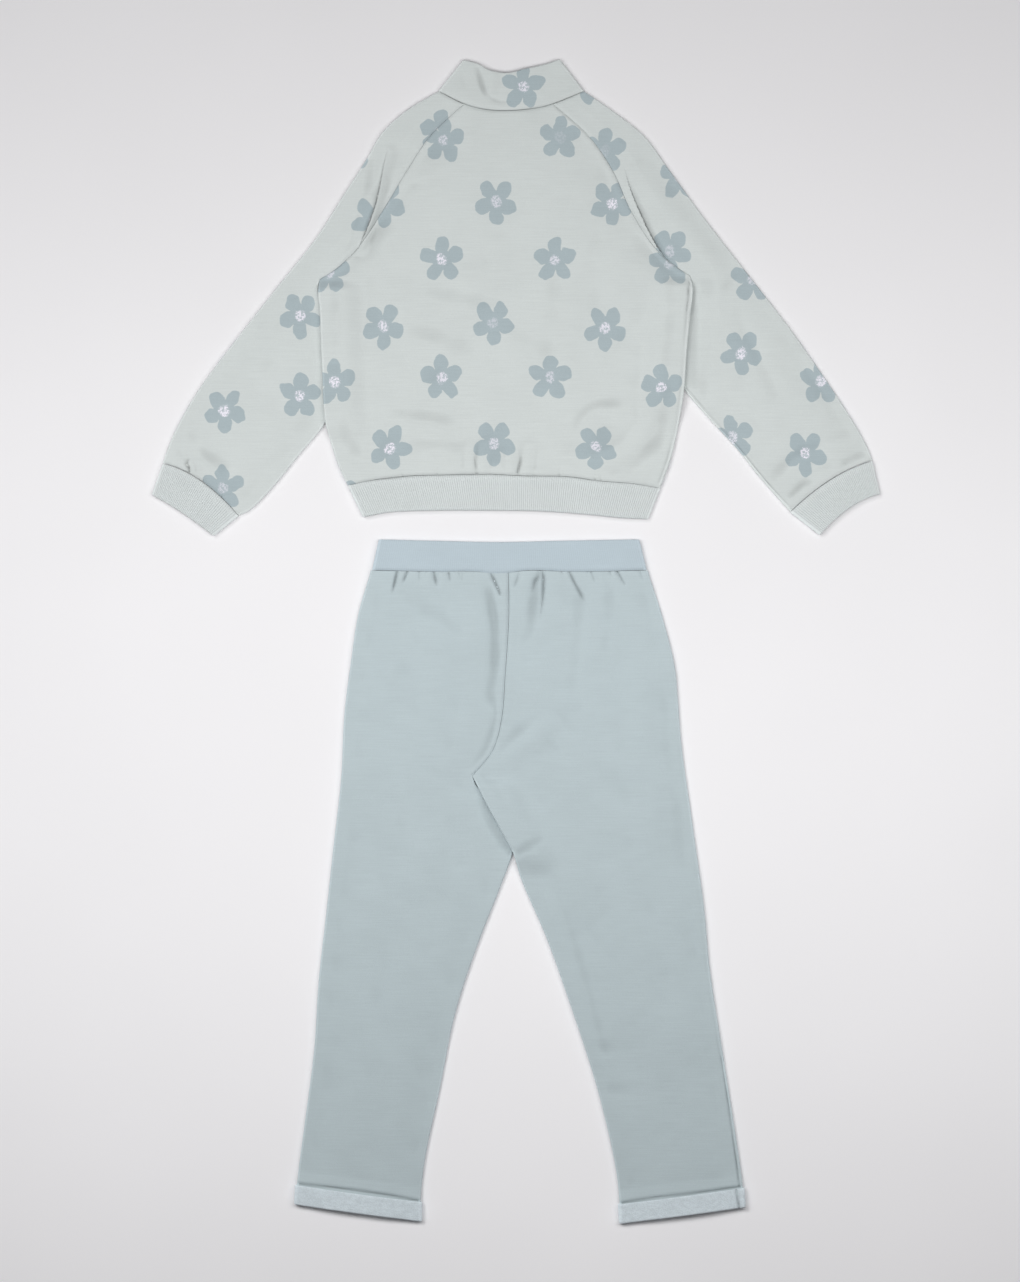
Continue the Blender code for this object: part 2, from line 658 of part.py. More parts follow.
def collar_across():
    """Collar columns that stand over the ends of the body's own columns, and a few more at its sides."""
    (left_x, _), (right_x, _) = NECK_RAGLANS
    start, span = left_x + SIDE_GAP / 2 + FLEECE_FOLD, right_x - left_x - SIDE_GAP - 2 * FLEECE_FOLD
    places = [start + share * span for share in TOP_ACROSS] + list(COLLAR_SIDE_PLACES)
    a_x, b_x = NECK_ENDS[0][0] + COLLAR_FOLD, NECK_ENDS[1][0] - COLLAR_FOLD
    return [0, *sorted((place - a_x) / (b_x - a_x) for place in places), 1]


def hem_stations():
    rows = ((hem_seam, HEM_SEAM), (through(HEM_EDGE), HEM_EDGE))
    return [
        line_station(line, table[0][0], table[-1][0], RIB_FOLD, inner_depth=RIB_CLOTH)
        for line, table in rows
    ]


def waistband_stations():
    """Sections of the elastic waistband, its top edge rounded, from the top edge to its seam."""
    top = through(WAIST_EDGE)
    stations = []
    for share_down, depth, swell in WAIST_ROWS:
        a_x = between(WAIST_EDGE[0][0], WAIST_SEAM[0][0], share_down)
        b_x = between(WAIST_EDGE[-1][0], WAIST_SEAM[-1][0], share_down)

        def line(x, share_down=share_down):
            return between(top(x), waist_seam(x), share_down)

        stations.append(
            line_station(
                line, a_x, b_x, WAIST_FOLD, depth=depth, inner_depth=WAIST_CLOTH - depth, swell=swell,
            )
        )
    return stations


def leg_sections(left):
    """(outer point, inner point) of each section of a leg, from the waist to above its turn-up."""
    outer = through(LEG_LEFT_OUTER if left else LEG_RIGHT_OUTER)
    inner = through(LEG_LEFT_INNER if left else LEG_RIGHT_INNER)
    centre = through(CENTRE_SEAM)
    away = -SIDE_GAP / 2 if left else SIDE_GAP / 2
    sections = []
    for outer_y, inner_y in LEG_ABOVE:
        sections.append(((outer(outer_y), outer_y), (centre(inner_y) + away, inner_y), 1))
    for number, (outer_y, inner_y) in enumerate(LEG_BELOW):
        beside = away if number == 0 else 0
        sections.append(((outer(outer_y), outer_y), (inner(inner_y) + beside, inner_y), 0))
    top = turnup_left_top if left else turnup_right_top
    outer_x, inner_x = outer(TURNUP_OUTER_Y), inner(TURNUP_INNER_Y)
    for above in (TURNUP_RAMP, TURNUP_REACH, LEG_END - TURNUP_HEIGHT):
        outer_y, inner_y = top(outer_x) + above, top(inner_x) + above
        sections.append(((outer(outer_y), outer_y), (inner(inner_y), inner_y), 0))
    return sections


def leg_stations(left):
    stations = []
    for number, (outer, inner, opened) in enumerate(leg_sections(left)):
        a, b = (outer, inner) if left else (inner, outer)
        bow = parabola(0)
        if number == 0:

            def bow(x, share, a=a, b=b):
                return waist_seam(x) - between(a[1], b[1], share) - END_GAP

        stations.append(
            Station(
                a, b, FLEECE_FOLD, bow=bow, low=leg_left_low if left else leg_right_low,
                swell=LEG_SWELL, broad=relief(LEG_FOLDS), fine=relief(WAIST_GATHERS),
                open_a=0 if left else opened, open_b=opened if left else 0,
            )
        )
    return stations


def turnup_stations(left):
    """Sections of a turned-up hem: down its outer layer, round the fold and in to the leg's end."""
    outer_edge = through(LEG_LEFT_OUTER if left else LEG_RIGHT_OUTER)
    inner_edge = through(LEG_LEFT_INNER if left else LEG_RIGHT_INNER)
    top = turnup_left_top if left else turnup_right_top
    turn = FLEECE + SEAM_GAP / 2
    sections = [(0, 0, FLEECE, 0)]
    for angle in (0, 45, 90, 135, 180):
        down = math.sin(math.radians(angle))
        inward = math.cos(math.radians(angle))
        outer_depth = turn - turn * inward
        inner_depth = turn - (turn - FLEECE) * inward
        height = TURNUP_HEIGHT - turn + turn * down
        sections.append((height, outer_depth, inner_depth, FLEECE * down))
    stations = []
    outer_x, inner_x = outer_edge(TURNUP_OUTER_Y), inner_edge(TURNUP_INNER_Y)
    for down, depth, inner_depth, inner_back in sections:
        points = []
        for edge, x, side in ((outer_edge, outer_x, -1), (inner_edge, inner_x, 1)):
            y = top(x) - down
            points.append((edge(y) + side * (1 if left else -1) * TURNUP_LAYER, y))
        a, b = points if left else points[::-1]
        stations.append(
            Station(
                a, b, FLEECE_FOLD + TURNUP_LAYER, swell=LEG_SWELL, depth=depth,
                inner_depth=inner_depth, edge_layer=TURNUP_LAYER, inner_back=inner_back,
            )
        )
    return stations


def build_sweatshirt():
    fleece = cloth("printed_fleece", SAGE)
    rib = cloth("sage_rib", RIB_SAGE, 0.85)
    (hem_left, _), (hem_right, _) = HEM_ENDS
    gathers = gather_columns(HEM_GATHERS, hem_left + FLEECE_FOLD, hem_right - FLEECE_FOLD, HEM_GATHER_ROWS)
    wall("body_back", body_stations(False), upper_columns(TOP_ACROSS, gathers), fleece)
    wall("body_front", body_stations(True), under_columns(TOP_ACROSS), fleece)
    wall("sleeve_left", sleeve_stations(True), round_columns("b", SLEEVE_ACROSS), fleece)
    wall("sleeve_right", sleeve_stations(False), round_columns("a", SLEEVE_ACROSS), fleece)
    wall("collar", collar_stations(), round_columns("a", collar_across(), collar_across()), fleece)
    for name, cuff, left in (("cuff_left", CUFF_LEFT, True), ("cuff_right", CUFF_RIGHT, False)):
        width = math.dist(cuff.seam_outer, cuff.seam_inner)
        columns = round_columns("b" if left else "a", PLAIN_ACROSS, PLAIN_ACROSS, rib_columns(width))
        wall(name, cuff_stations(cuff, left), columns, rib)
    width = math.dist(*HEM_ENDS)
    hem = round_columns("b", TOP_ACROSS, TOP_ACROSS, rib_columns(width))
    wall("hem_band", hem_stations(), hem, rib)


def build_trousers():
    fleece = cloth("plain_fleece", BLUE_GREY)
    wrong_side = cloth("fleece_wrong_side", WRONG_SIDE, 0.95)
    band = round_columns("b", BAND_ACROSS, PLAIN_ACROSS)
    wall("waistband", waistband_stations(), band, fleece)
    centre_x = CENTRE_SEAM[0][1]
    for side, left in (("left", True), ("right", False)):
        a_x, b_x = (LEG_LEFT_OUTER[0][1], centre_x) if left else (centre_x, LEG_RIGHT_OUTER[0][1])
        gathers = gather_columns(WAIST_GATHERS, a_x + FLEECE_FOLD, b_x - FLEECE_FOLD, WAIST_GATHER_ROWS)
        stations = leg_stations(left)
        wall(f"leg_back_{side}", stations, upper_columns(LEG_ACROSS, gathers), fleece)
        wall(f"leg_front_{side}", stations, under_columns(LEG_UNDER_ACROSS), fleece)
        columns = round_columns("a" if left else "b", LEG_ACROSS, LEG_UNDER_ACROSS)
        wall(f"turnup_{side}", turnup_stations(left), columns, wrong_side)


def centre_on_surface():
    """Moves every piece so that the middle of the set's underside is the origin."""
    pieces = [piece for piece in bpy.data.objects if piece.type == "MESH"]
    corners = [vertex.co for piece in pieces for vertex in piece.data.vertices]
    middle = [(min(c[k] for c in corners) + max(c[k] for c in corners)) / 2 for k in (0, 1)]
    for piece in pieces:
        for vertex in piece.data.vertices:
            vertex.co.x -= middle[0]
            vertex.co.y -= middle[1]


def main():
    for old in list(bpy.data.objects):
        bpy.data.objects.remove(old, do_unlink=True)
    build_sweatshirt()
    build_trousers()
    centre_on_surface()


main()
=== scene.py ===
import math
from collections import namedtuple
from functools import reduce
from itertools import zip_longest

import bpy
import numpy as np
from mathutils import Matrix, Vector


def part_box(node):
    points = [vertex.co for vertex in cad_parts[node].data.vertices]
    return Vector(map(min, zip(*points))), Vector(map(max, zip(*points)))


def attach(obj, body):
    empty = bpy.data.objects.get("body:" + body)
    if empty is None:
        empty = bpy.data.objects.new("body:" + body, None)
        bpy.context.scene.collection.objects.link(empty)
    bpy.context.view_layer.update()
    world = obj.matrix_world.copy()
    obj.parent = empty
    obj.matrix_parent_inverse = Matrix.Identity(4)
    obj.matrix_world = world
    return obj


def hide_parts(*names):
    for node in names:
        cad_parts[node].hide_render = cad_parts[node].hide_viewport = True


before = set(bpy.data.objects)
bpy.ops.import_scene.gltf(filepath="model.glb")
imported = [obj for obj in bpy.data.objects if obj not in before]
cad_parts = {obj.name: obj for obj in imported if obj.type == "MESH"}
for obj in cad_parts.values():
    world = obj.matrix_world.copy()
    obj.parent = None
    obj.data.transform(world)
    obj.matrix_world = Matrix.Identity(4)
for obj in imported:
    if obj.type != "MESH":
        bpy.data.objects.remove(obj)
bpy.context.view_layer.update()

# The look of a child's tracksuit that lies flat with its back up.
# Tables are in millimetres, as in the solids' source: x to the right, y towards the collar.
MM = 0.001

# Cloth
FLEECE = 1.6
RIB_CLOTH = 2.4
WAIST_CLOTH = 3.0
COLLAR_CLOTH = 2.6
SEAM_GAP = 0.3
SIDE_GAP = 0.4
END_GAP = 0.35
FLEECE_FOLD = 2.5
RIB_FOLD = 3.0
WAIST_FOLD = 3.9
COLLAR_FOLD = 3.1
# How much of a panel's length the gap at its sewn end, and at its armpit or crotch, fades along
END_RUN = 6.0
SIDE_RUN = 12.0

BODY_SWELL = 2.2
SLEEVE_SWELL = 1.8
LEG_SWELL = 1.8
COLLAR_SWELL = 0.9
BAND_SWELL = 0.5
SWELL_START = 8.0
SWELL_SPAN = 37.0
TUCK_LIFT = 2 * FLEECE_FOLD + 0.8
TUCK_FULL = 22.0
TUCK_END = 47.0

RIB_PITCH = 2.34
RIB_HEIGHT = 0.55
RIB_STEPS = 6
RIB_ROUNDNESS = 0.8
WAIST_RIB_HEIGHT = 0.16
WAIST_RIB_STEPS = 4
FRONT_NECK_DROP = 32.0
FRONT_NECK_ROUNDNESS = 1.5
TURNUP_HEIGHT = 20.5
TURNUP_LAYER = FLEECE + SEAM_GAP
TURNUP_RAMP = 14.0
TURNUP_REACH = 1.5
LEG_END = 2.4
TURNUP_OUTER_Y = -575
TURNUP_INNER_Y = -590

# A turned-up hem's rows: (how far down, how deep) where its top rolls, then level ones, then its fold
TURNUP_TOP_ROLL = ((0.0, 0.5), (0.5, 0.12))
TURNUP_LEVEL_START = 1.2
TURNUP_LEVEL_END = 0.8
TURNUP_LEVELS = 12
TURNUP_TURNS = 13
# A band's folded rim: the turns of its places, and how far its surfaces draw together
RIM_TURNS = (20, 40, 60, 75, 90)
RIM_SHARE = 0.92

# How a sewn edge rolls down into its seam, and the low ridge that its allowance makes beside it
ROLL = 1.0
ROLL_WIDTH = 1.5
RIDGE = 0.16
RIDGE_AWAY = 4.5
RIDGE_WIDTH = 2.6

# The grids: how far apart places are on the side that is seen, on hidden sides and inside
SEEN_STEP = 1.5
HIDDEN_STEP = 4.0
COLLAR_STEP = 1.1
INSIDE_EVERY = 3
SEAM_STEPS = (0, 0.5, 1.1, 1.8, 2.8)
FOLD_TURNS = (0, 15, 30, 45, 60, 75)
# The widths of sleeves, legs and turned-up hems that places across them are counted for
SLEEVE_TOP = 145
LEG_TOP = 185
TURNUP_TOP = 130
# Farther away than any seam
FAR = 1e3
# Edges that turn by more degrees than this are shaded as sharp ones
SHARP_EDGE = 58

# Painted shade: cloth in hollows is painted a little darker. How many places to look round for narrow
# and for wide ones, what share of that wide ones get, and how deep is fully dark
HOLLOW_REACH = 4
WIDE_REACH = 11
WIDE_SHARE = 0.42
HOLLOW_START = 0.1
HOLLOW_DEPTH = 1.2
HOLLOW_PAINTED_SHADE = 0.45
# Painted light: how much paler the rolled edges are painted
EDGE_PAINTED_LIGHT = 0.35

RAGLAN_STEPS = (0, 0.1, 0.2, 0.32, 0.45, 0.58, 0.7, 0.8, 0.88, 0.95, 1)

# Edges and seams, each a row for one point: (y, x)
RAGLAN_LEFT = (
    (564.5, -54.5), (534, -87.5), (500, -111), (457, -137), (413.5, -165.5),
    (400.5, -178.5), (389.5, -191.5), (380.5, -206),
)
RAGLAN_RIGHT = (
    (564.5, 38.5), (532.5, 74.5), (496, 100.5), (450.5, 121.5), (413.5, 145.5),
    (400.5, 158.5), (391.5, 171.5), (384.5, 182.5),
)
BODY_LEFT = (
    (380.5, -206), (368, -207.5), (351, -206), (315, -204.5), (280.5, -203),
    (254.5, -202), (230.5, -200), (208, -194), (184, -186), (164, -176.5),
)
BODY_RIGHT = (
    (384.5, 182.5), (372, 185), (341, 182.5), (300.5, 179), (270.5, 177),
    (247, 174), (224.5, 170), (193.5, 163), (161.2, 151.5),
)
SLEEVE_LEFT_OUTER = (
    (578, -81.5), (558, -114.5), (535, -140), (508, -156), (473, -178.5), (423, -210.5),
    (375, -248.5), (317, -294), (262.5, -334.5), (210.5, -362.5), (187.5, -370.7),
)
SLEEVE_LEFT_TUCK = (
    (380.5, -206), (368, -207.5), (345, -200), (310, -191), (270, -190), (245, -195),
    (230.5, -200), (196, -228), (164, -254), (142, -275), (136, -283), (132.5, -291),
)
SLEEVE_RIGHT_OUTER = (
    (578, 71.5), (558, 100.5), (532.5, 133), (498.5, 158.5), (445.5, 197), (394, 237),
    (333, 284.5), (298.5, 309), (254.5, 339), (208, 367), (190.5, 374.1),
)
SLEEVE_RIGHT_TUCK = (
    (384.5, 182.5), (372, 185), (350, 177), (320, 169), (290, 167.5), (272, 172.5),
    (264.5, 177), (234.5, 202.5), (202, 232.5), (172, 256.5), (136.5, 287.7),
)
LEG_LEFT_OUTER = (
    (75.5, -152), (29, -165.5), (-19, -173), (-75, -180), (-143.5, -183.5), (-210, -191),
    (-288, -199.5), (-355, -207), (-425, -211.5), (-504, -221.5), (-566, -229.5), (-610, -232),
)
LEG_RIGHT_OUTER = (
    (75.5, 138), (25, 154), (-28, 167), (-61, 170), (-106, 173.5), (-193, 185.5),
    (-284, 198), (-339.5, 203), (-444, 219), (-534, 233), (-567, 237.5), (-610, 240),
)
CENTRE_SEAM = (
    (75.5, -8), (29, -7.5), (-37, -11.5), (-80, -15), (-112.5, -24), (-127, -34), (-140.5, -46),
)
LEG_RIGHT_INNER = (
    (-140.5, -46), (-153, -39.5), (-166, -33), (-202, -13.5), (-221.5, -3), (-247.5, 5),
    (-308, 31), (-382, 57.5), (-452, 80.5), (-486, 90), (-560.5, 106), (-610, 110),
)
LEG_LEFT_INNER = (
    (-140.5, -46), (-153, -39.5), (-166, -19), (-187, -5), (-208, -2.5), (-221.5, -3.8),
    (-252, -14.5), (-317, -40), (-387, -63), (-469, -80), (-546, -96), (-584, -100), (-610, -100.5),
)

# Seams and edges that run across, each a row for one point: (x, y)
NECK_SEAM = (
    (-81.5, 578.3), (-54.5, 565), (-31, 559), (-7, 557.8), (19.5, 560.5), (38.5, 565), (71.5, 578.1),
)
COLLAR_TOP = (
    (-55.5, 610.5), (-40, 606.5), (-27, 599.5), (-8.5, 597), (11, 601.5), (33, 606.7), (46, 611.5),
)
HEM_SEAM = (
    (-176.5, 164), (-156.5, 168.5), (-114.5, 173.8), (-72, 175.2), (-30, 175.8), (12.5, 174),
    (54.5, 173.2), (88, 168.7), (122, 166), (151.5, 161.2),
)
HEM_EDGE = (
    (-160.7, 130.8), (-134, 135.9), (-86, 137.9), (-30, 138), (26.5, 137.2), (82.5, 133),
    (110.5, 130.2), (138.8, 128.8),
)
WAIST_EDGE = ((-144, 107.6), (-86, 106.1), (-20, 104.8), (46.5, 106.1), (129.5, 107.6))
WAIST_SEAM = (
    (-151, 75.6), (-80, 73.8), (-42, 74), (-19, 71.6), (12.5, 75.3), (60, 73.8), (137.2, 75.6),
)
TURNUP_LEFT_TOP = ((-233, -569), (-173, -575.3), (-130, -581.7), (-99, -587.6))
TURNUP_RIGHT_TOP = ((108, -590), (147, -583.4), (184.5, -579), (216.5, -575.8), (242, -571.5))

Tuck = namedtuple("Tuck", "top full_top full_end end")
TUCK_LEFT = Tuck(380.5, 368, 230, 205)
TUCK_RIGHT = Tuck(384.5, 372, 262, 222)
LEG_TUCK = Tuck(-140.5, -153, -221.5, -247.5)

SLEEVE_LEFT_PAIRS = (
    (564.5, 578), (534, 556), (478, 508), (413, 446), (380.5, 399), (368, 385), (345, 363),
    (310, 334), (270, 300), (245, 275), (230.5, 262.5), (196, 236), (164, 213), (142, 198),
    (136, 192.5), (132.5, 187.5),
)
SLEEVE_RIGHT_PAIRS = (
    (564.5, 578), (532.5, 558), (496, 526), (450.5, 482), (413.5, 445), (384.5, 411), (372, 398),
    (350, 378), (320, 352), (290, 322), (264.5, 297), (234.5, 264), (202, 233), (172, 211),
    (150, 199), (136.5, 190.5),
)
SLEEVE_LEFT_BELOW = (368, 345, 310, 270, 245, 230.5, 196, 164, 142, 136, 132.5)
SLEEVE_RIGHT_BELOW = (372, 350, 320, 290, 264.5, 234.5, 202, 172, 150, 136.5)
BODY_BELOW = (
    (368, 372, 0), (345, 345, 0), (310, 308, 0), (270, 285, 0.05), (245, 262, 0.12), (230, 240, 0.25),
    (205, 215, 0.5), (189, 194, 0.75), (177, 178, 0.9), (168, 166, 1), (164, 161.2, 1),
)
NECK_SHARE = (1, 0.8, 0.55, 0.3, 0.1)
FRONT_NECK_SHARE = (1, 0.85, 0.7, 0.5, 0.3, 0.1)
CUFF_SHARE = (1, 0.9, 0.75, 0.4, 0.15)
LEG_ABOVE = (
    (75.5, 75.5), (70, 70), (61, 61), (48, 48), (18, 16), (-28, -26), (-70, -64), (-104, -92),
    (-122, -112.5), (-136, -127), (-149, -140.5),
)
LEG_BELOW = (
    (-162, -153), (-177, -166), (-199, -187), (-219, -208), (-234, -221.5), (-255, -247.5),
    (-310, -308), (-382, -382), (-452, -452), (-510, -515),
)

Cuff = namedtuple("Cuff", "seam_outer seam_inner edge_outer edge_inner seam_bow edge_bow")
CUFF_LEFT = Cuff((-370.7, 187), (-291, 132), (-382.3, 154.5), (-317, 111), 9.5, 2.4)
CUFF_RIGHT = Cuff((374.1, 190), (287.7, 136), (382.1, 155), (318.5, 111.8), 7.5, 7.5)
NECK_ENDS = ((-81.5, 578.3), (71.5, 578.1))
NECK_RAGLANS = ((-54.5, 564.5), (38.5, 564.5))
HEM_ENDS = ((-176.5, 164), (151.5, 161.2))
COLLAR_ENDS = ((-55.5, 610.5), (46, 611.5))

# The photograph's pixels in the tables' millimetres
PHOTO_SCALE = 1.05
PHOTO_LEFT = -541.8
PHOTO_TOP = 674.1
PHOTO_SIZE = (1020, 1282)

# The solids' middle is the origin, so the tables' numbers are moved by this much
SHIFT_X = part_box("cuff_left")[0][0] / MM - CUFF_LEFT.edge_outer[0]
SHIFT_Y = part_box("waistband")[1][1] / MM - WAIST_EDGE[0][1]

# Creases of the cloth, traced one by one: kind, width in mm, then (x, y, height in mm) along each,
# where x and y are the photograph's pixels. Soft ones are rounded, sharp ones are pinched lines, and a
# lapped one stands up on the left of its way and drops on the right.
CREASE_GAIN = 1.55
FADE = 1.2
SHARP_NARROWING = 0.75
SHARP_POWER = 1.6
LAP_DROP = 0.8
LAP_SLOPE = 0.8
PATH_PARTS = 4
SWEATSHIRT_CREASES = (
    ("soft", 13, (385, 161, 1.2), (362, 244, 2.4)),
    ("soft", 12, (369, 161, -0.8), (370, 194, -0.8)),
    ("lapped", 9, (388, 148, 0), (384, 166, 0.6), (377, 202, 1.6), (367, 231, 1.7), (357, 252, 0)),
    (
        "lapped", 9, (684, 273, 0), (664, 257, 1.3), (650, 235, 1.6), (640, 214, 1.5),
        (631, 192, 0.8), (624, 168, 0),
    ),
    ("soft", 24, (651, 187, 1.6), (711, 263, 2.2)),
    ("soft", 9, (692, 286, -0.9), (694, 330, -1.1), (691, 388, -0.5)),
    ("soft", 20, (421, 179, 1.1), (458, 165, 0.6)),
    ("soft", 9, (414, 187, -0.5), (452, 174, -0.3)),
    ("soft", 20, (425, 278, 0.7), (478, 288, 0.5)),
    ("soft", 20, (430, 289, -0.6), (478, 300, -0.4)),
    ("soft", 20, (424, 332, -0.7), (460, 344, -0.5)),
    ("soft", 20, (518, 332, -0.3), (545, 350, -0.4)),
    ("soft", 18, (407, 428, 0.9), (460, 431, 1.0)),
    ("soft", 13, (402, 415, -0.5), (436, 420, -0.8), (462, 432, -0.6), (475, 442, 0)),
    ("soft", 14, (588, 426, 0.5), (600, 417, 0.8), (620, 415, 0.5)),
    (
        "soft", 10, (574, 431, -0.1), (581, 416, -0.5), (593, 407, -0.6), (610, 404, -0.5),
        (624, 408, -0.1),
    ),
    ("soft", 16, (606, 462, 0.8), (627, 450, 1.0), (645, 432, 0.8)),
    (
        "soft", 15, (613, 476, -0.6), (629, 470, -0.8), (645, 455, -0.8), (657, 441, -0.7),
        (663, 426, -0.3),
    ),
    ("soft", 14, (366, 461, 1.0), (390, 473, 1.0)),
    ("soft", 10, (350, 440, 0), (362, 458, -0.7), (380, 471, -0.7), (398, 473, 0)),
    ("sharp", 3.2, (476, 452, 0), (475, 461, -0.6), (477, 474, -0.5)),
    ("soft", 9, (470, 450, 0.6), (470, 472, 0.8)),
    ("soft", 9, (484, 450, 0.6), (483, 472, 0.7)),
    ("sharp", 3.2, (521, 455, 0), (520, 463, -1.1), (517.5, 473, -1.4)),
    ("soft", 9, (529, 452, 0.6), (527, 473, 1.0)),
    ("soft", 9, (512, 452, 0.6), (510, 473, 0.8)),
    ("sharp", 3.5, (594.5, 469, 0), (595, 480, -0.8)),
    ("sharp", 3.5, (600, 471, 0), (600.5, 480, -0.7)),
    ("sharp", 4, (560, 464, 0), (559, 475, -0.6)),
    ("sharp", 4, (438, 464, 0), (437, 474, -0.5)),
    ("sharp", 4, (404, 467, 0), (403, 475, -0.5)),
    ("soft", 30, (350, 470, 1.0), (655, 470, 1.0)),
    ("lapped", 6, (191, 459, 0), (188, 464, 1.0), (190.5, 468, 1.2), (189.5, 475, 0.8)),
    ("soft", 12, (196, 450, 0), (206, 455, -0.8), (221, 462, -0.6), (236, 474, 0)),
    ("soft", 12, (182, 440, 0.4), (205, 470, 1.1), (222, 491, 0.8)),
    ("sharp", 5, (206, 472, 0), (203, 483, -0.8)),
    ("sharp", 5, (226, 487, 0), (221, 499, -0.7)),
    ("soft", 9, (792, 494, -0.7), (804, 484, -0.9), (819, 487, 0)),
    ("soft", 8, (845, 464, -0.8), (863, 455, -0.7)),
    ("soft", 14, (800, 465, 0.6), (845, 447, 0.8)),
    ("sharp", 5, (812, 487, 0), (818, 497, -0.8)),
    ("sharp", 5, (833, 475, 0), (838, 485, -0.7)),
    ("soft", 30, (258, 300, 0.7), (215, 380, 0.5)),
    ("soft", 20, (300, 300, -0.5), (262, 372, -0.4)),
    ("soft", 24, (763, 330, 0.5), (800, 400, 0.6)),
    ("soft", 16, (735, 315, -0.5), (770, 385, -0.4)),
    ("soft", 26, (560, 200, 0.3), (575, 300, 0.4)),
    ("soft", 22, (350, 300, 0.5), (345, 400, 0.4)),
    ("soft", 16, (702, 292, -0.5), (706, 340, -0.7), (700, 400, -0.4)),
    ("soft", 12, (771, 480, -0.4), (783, 466, -0.6), (800, 452, -0.4)),
    ("soft", 14, (716, 400, 0.4), (770, 456, 0.5)),
    ("soft", 16, (655, 300, 0.5), (648, 420, 0.5)),
)
COLLAR_CREASES = (
    (
        "soft", 5, (478, 70, -0.6), (480, 78, -1.1), (483, 88, -1.1), (489, 97, -0.6),
        (500, 103, -0.5), (516, 103, 0),
    ),
    ("soft", 9, (494, 74, 0.7), (491, 92, 0.8)),
    ("soft", 12, (472, 76, 0.4), (474, 92, 0.4)),
    ("soft", 12, (455, 90, 0.3), (468, 98, 0.3)),
)
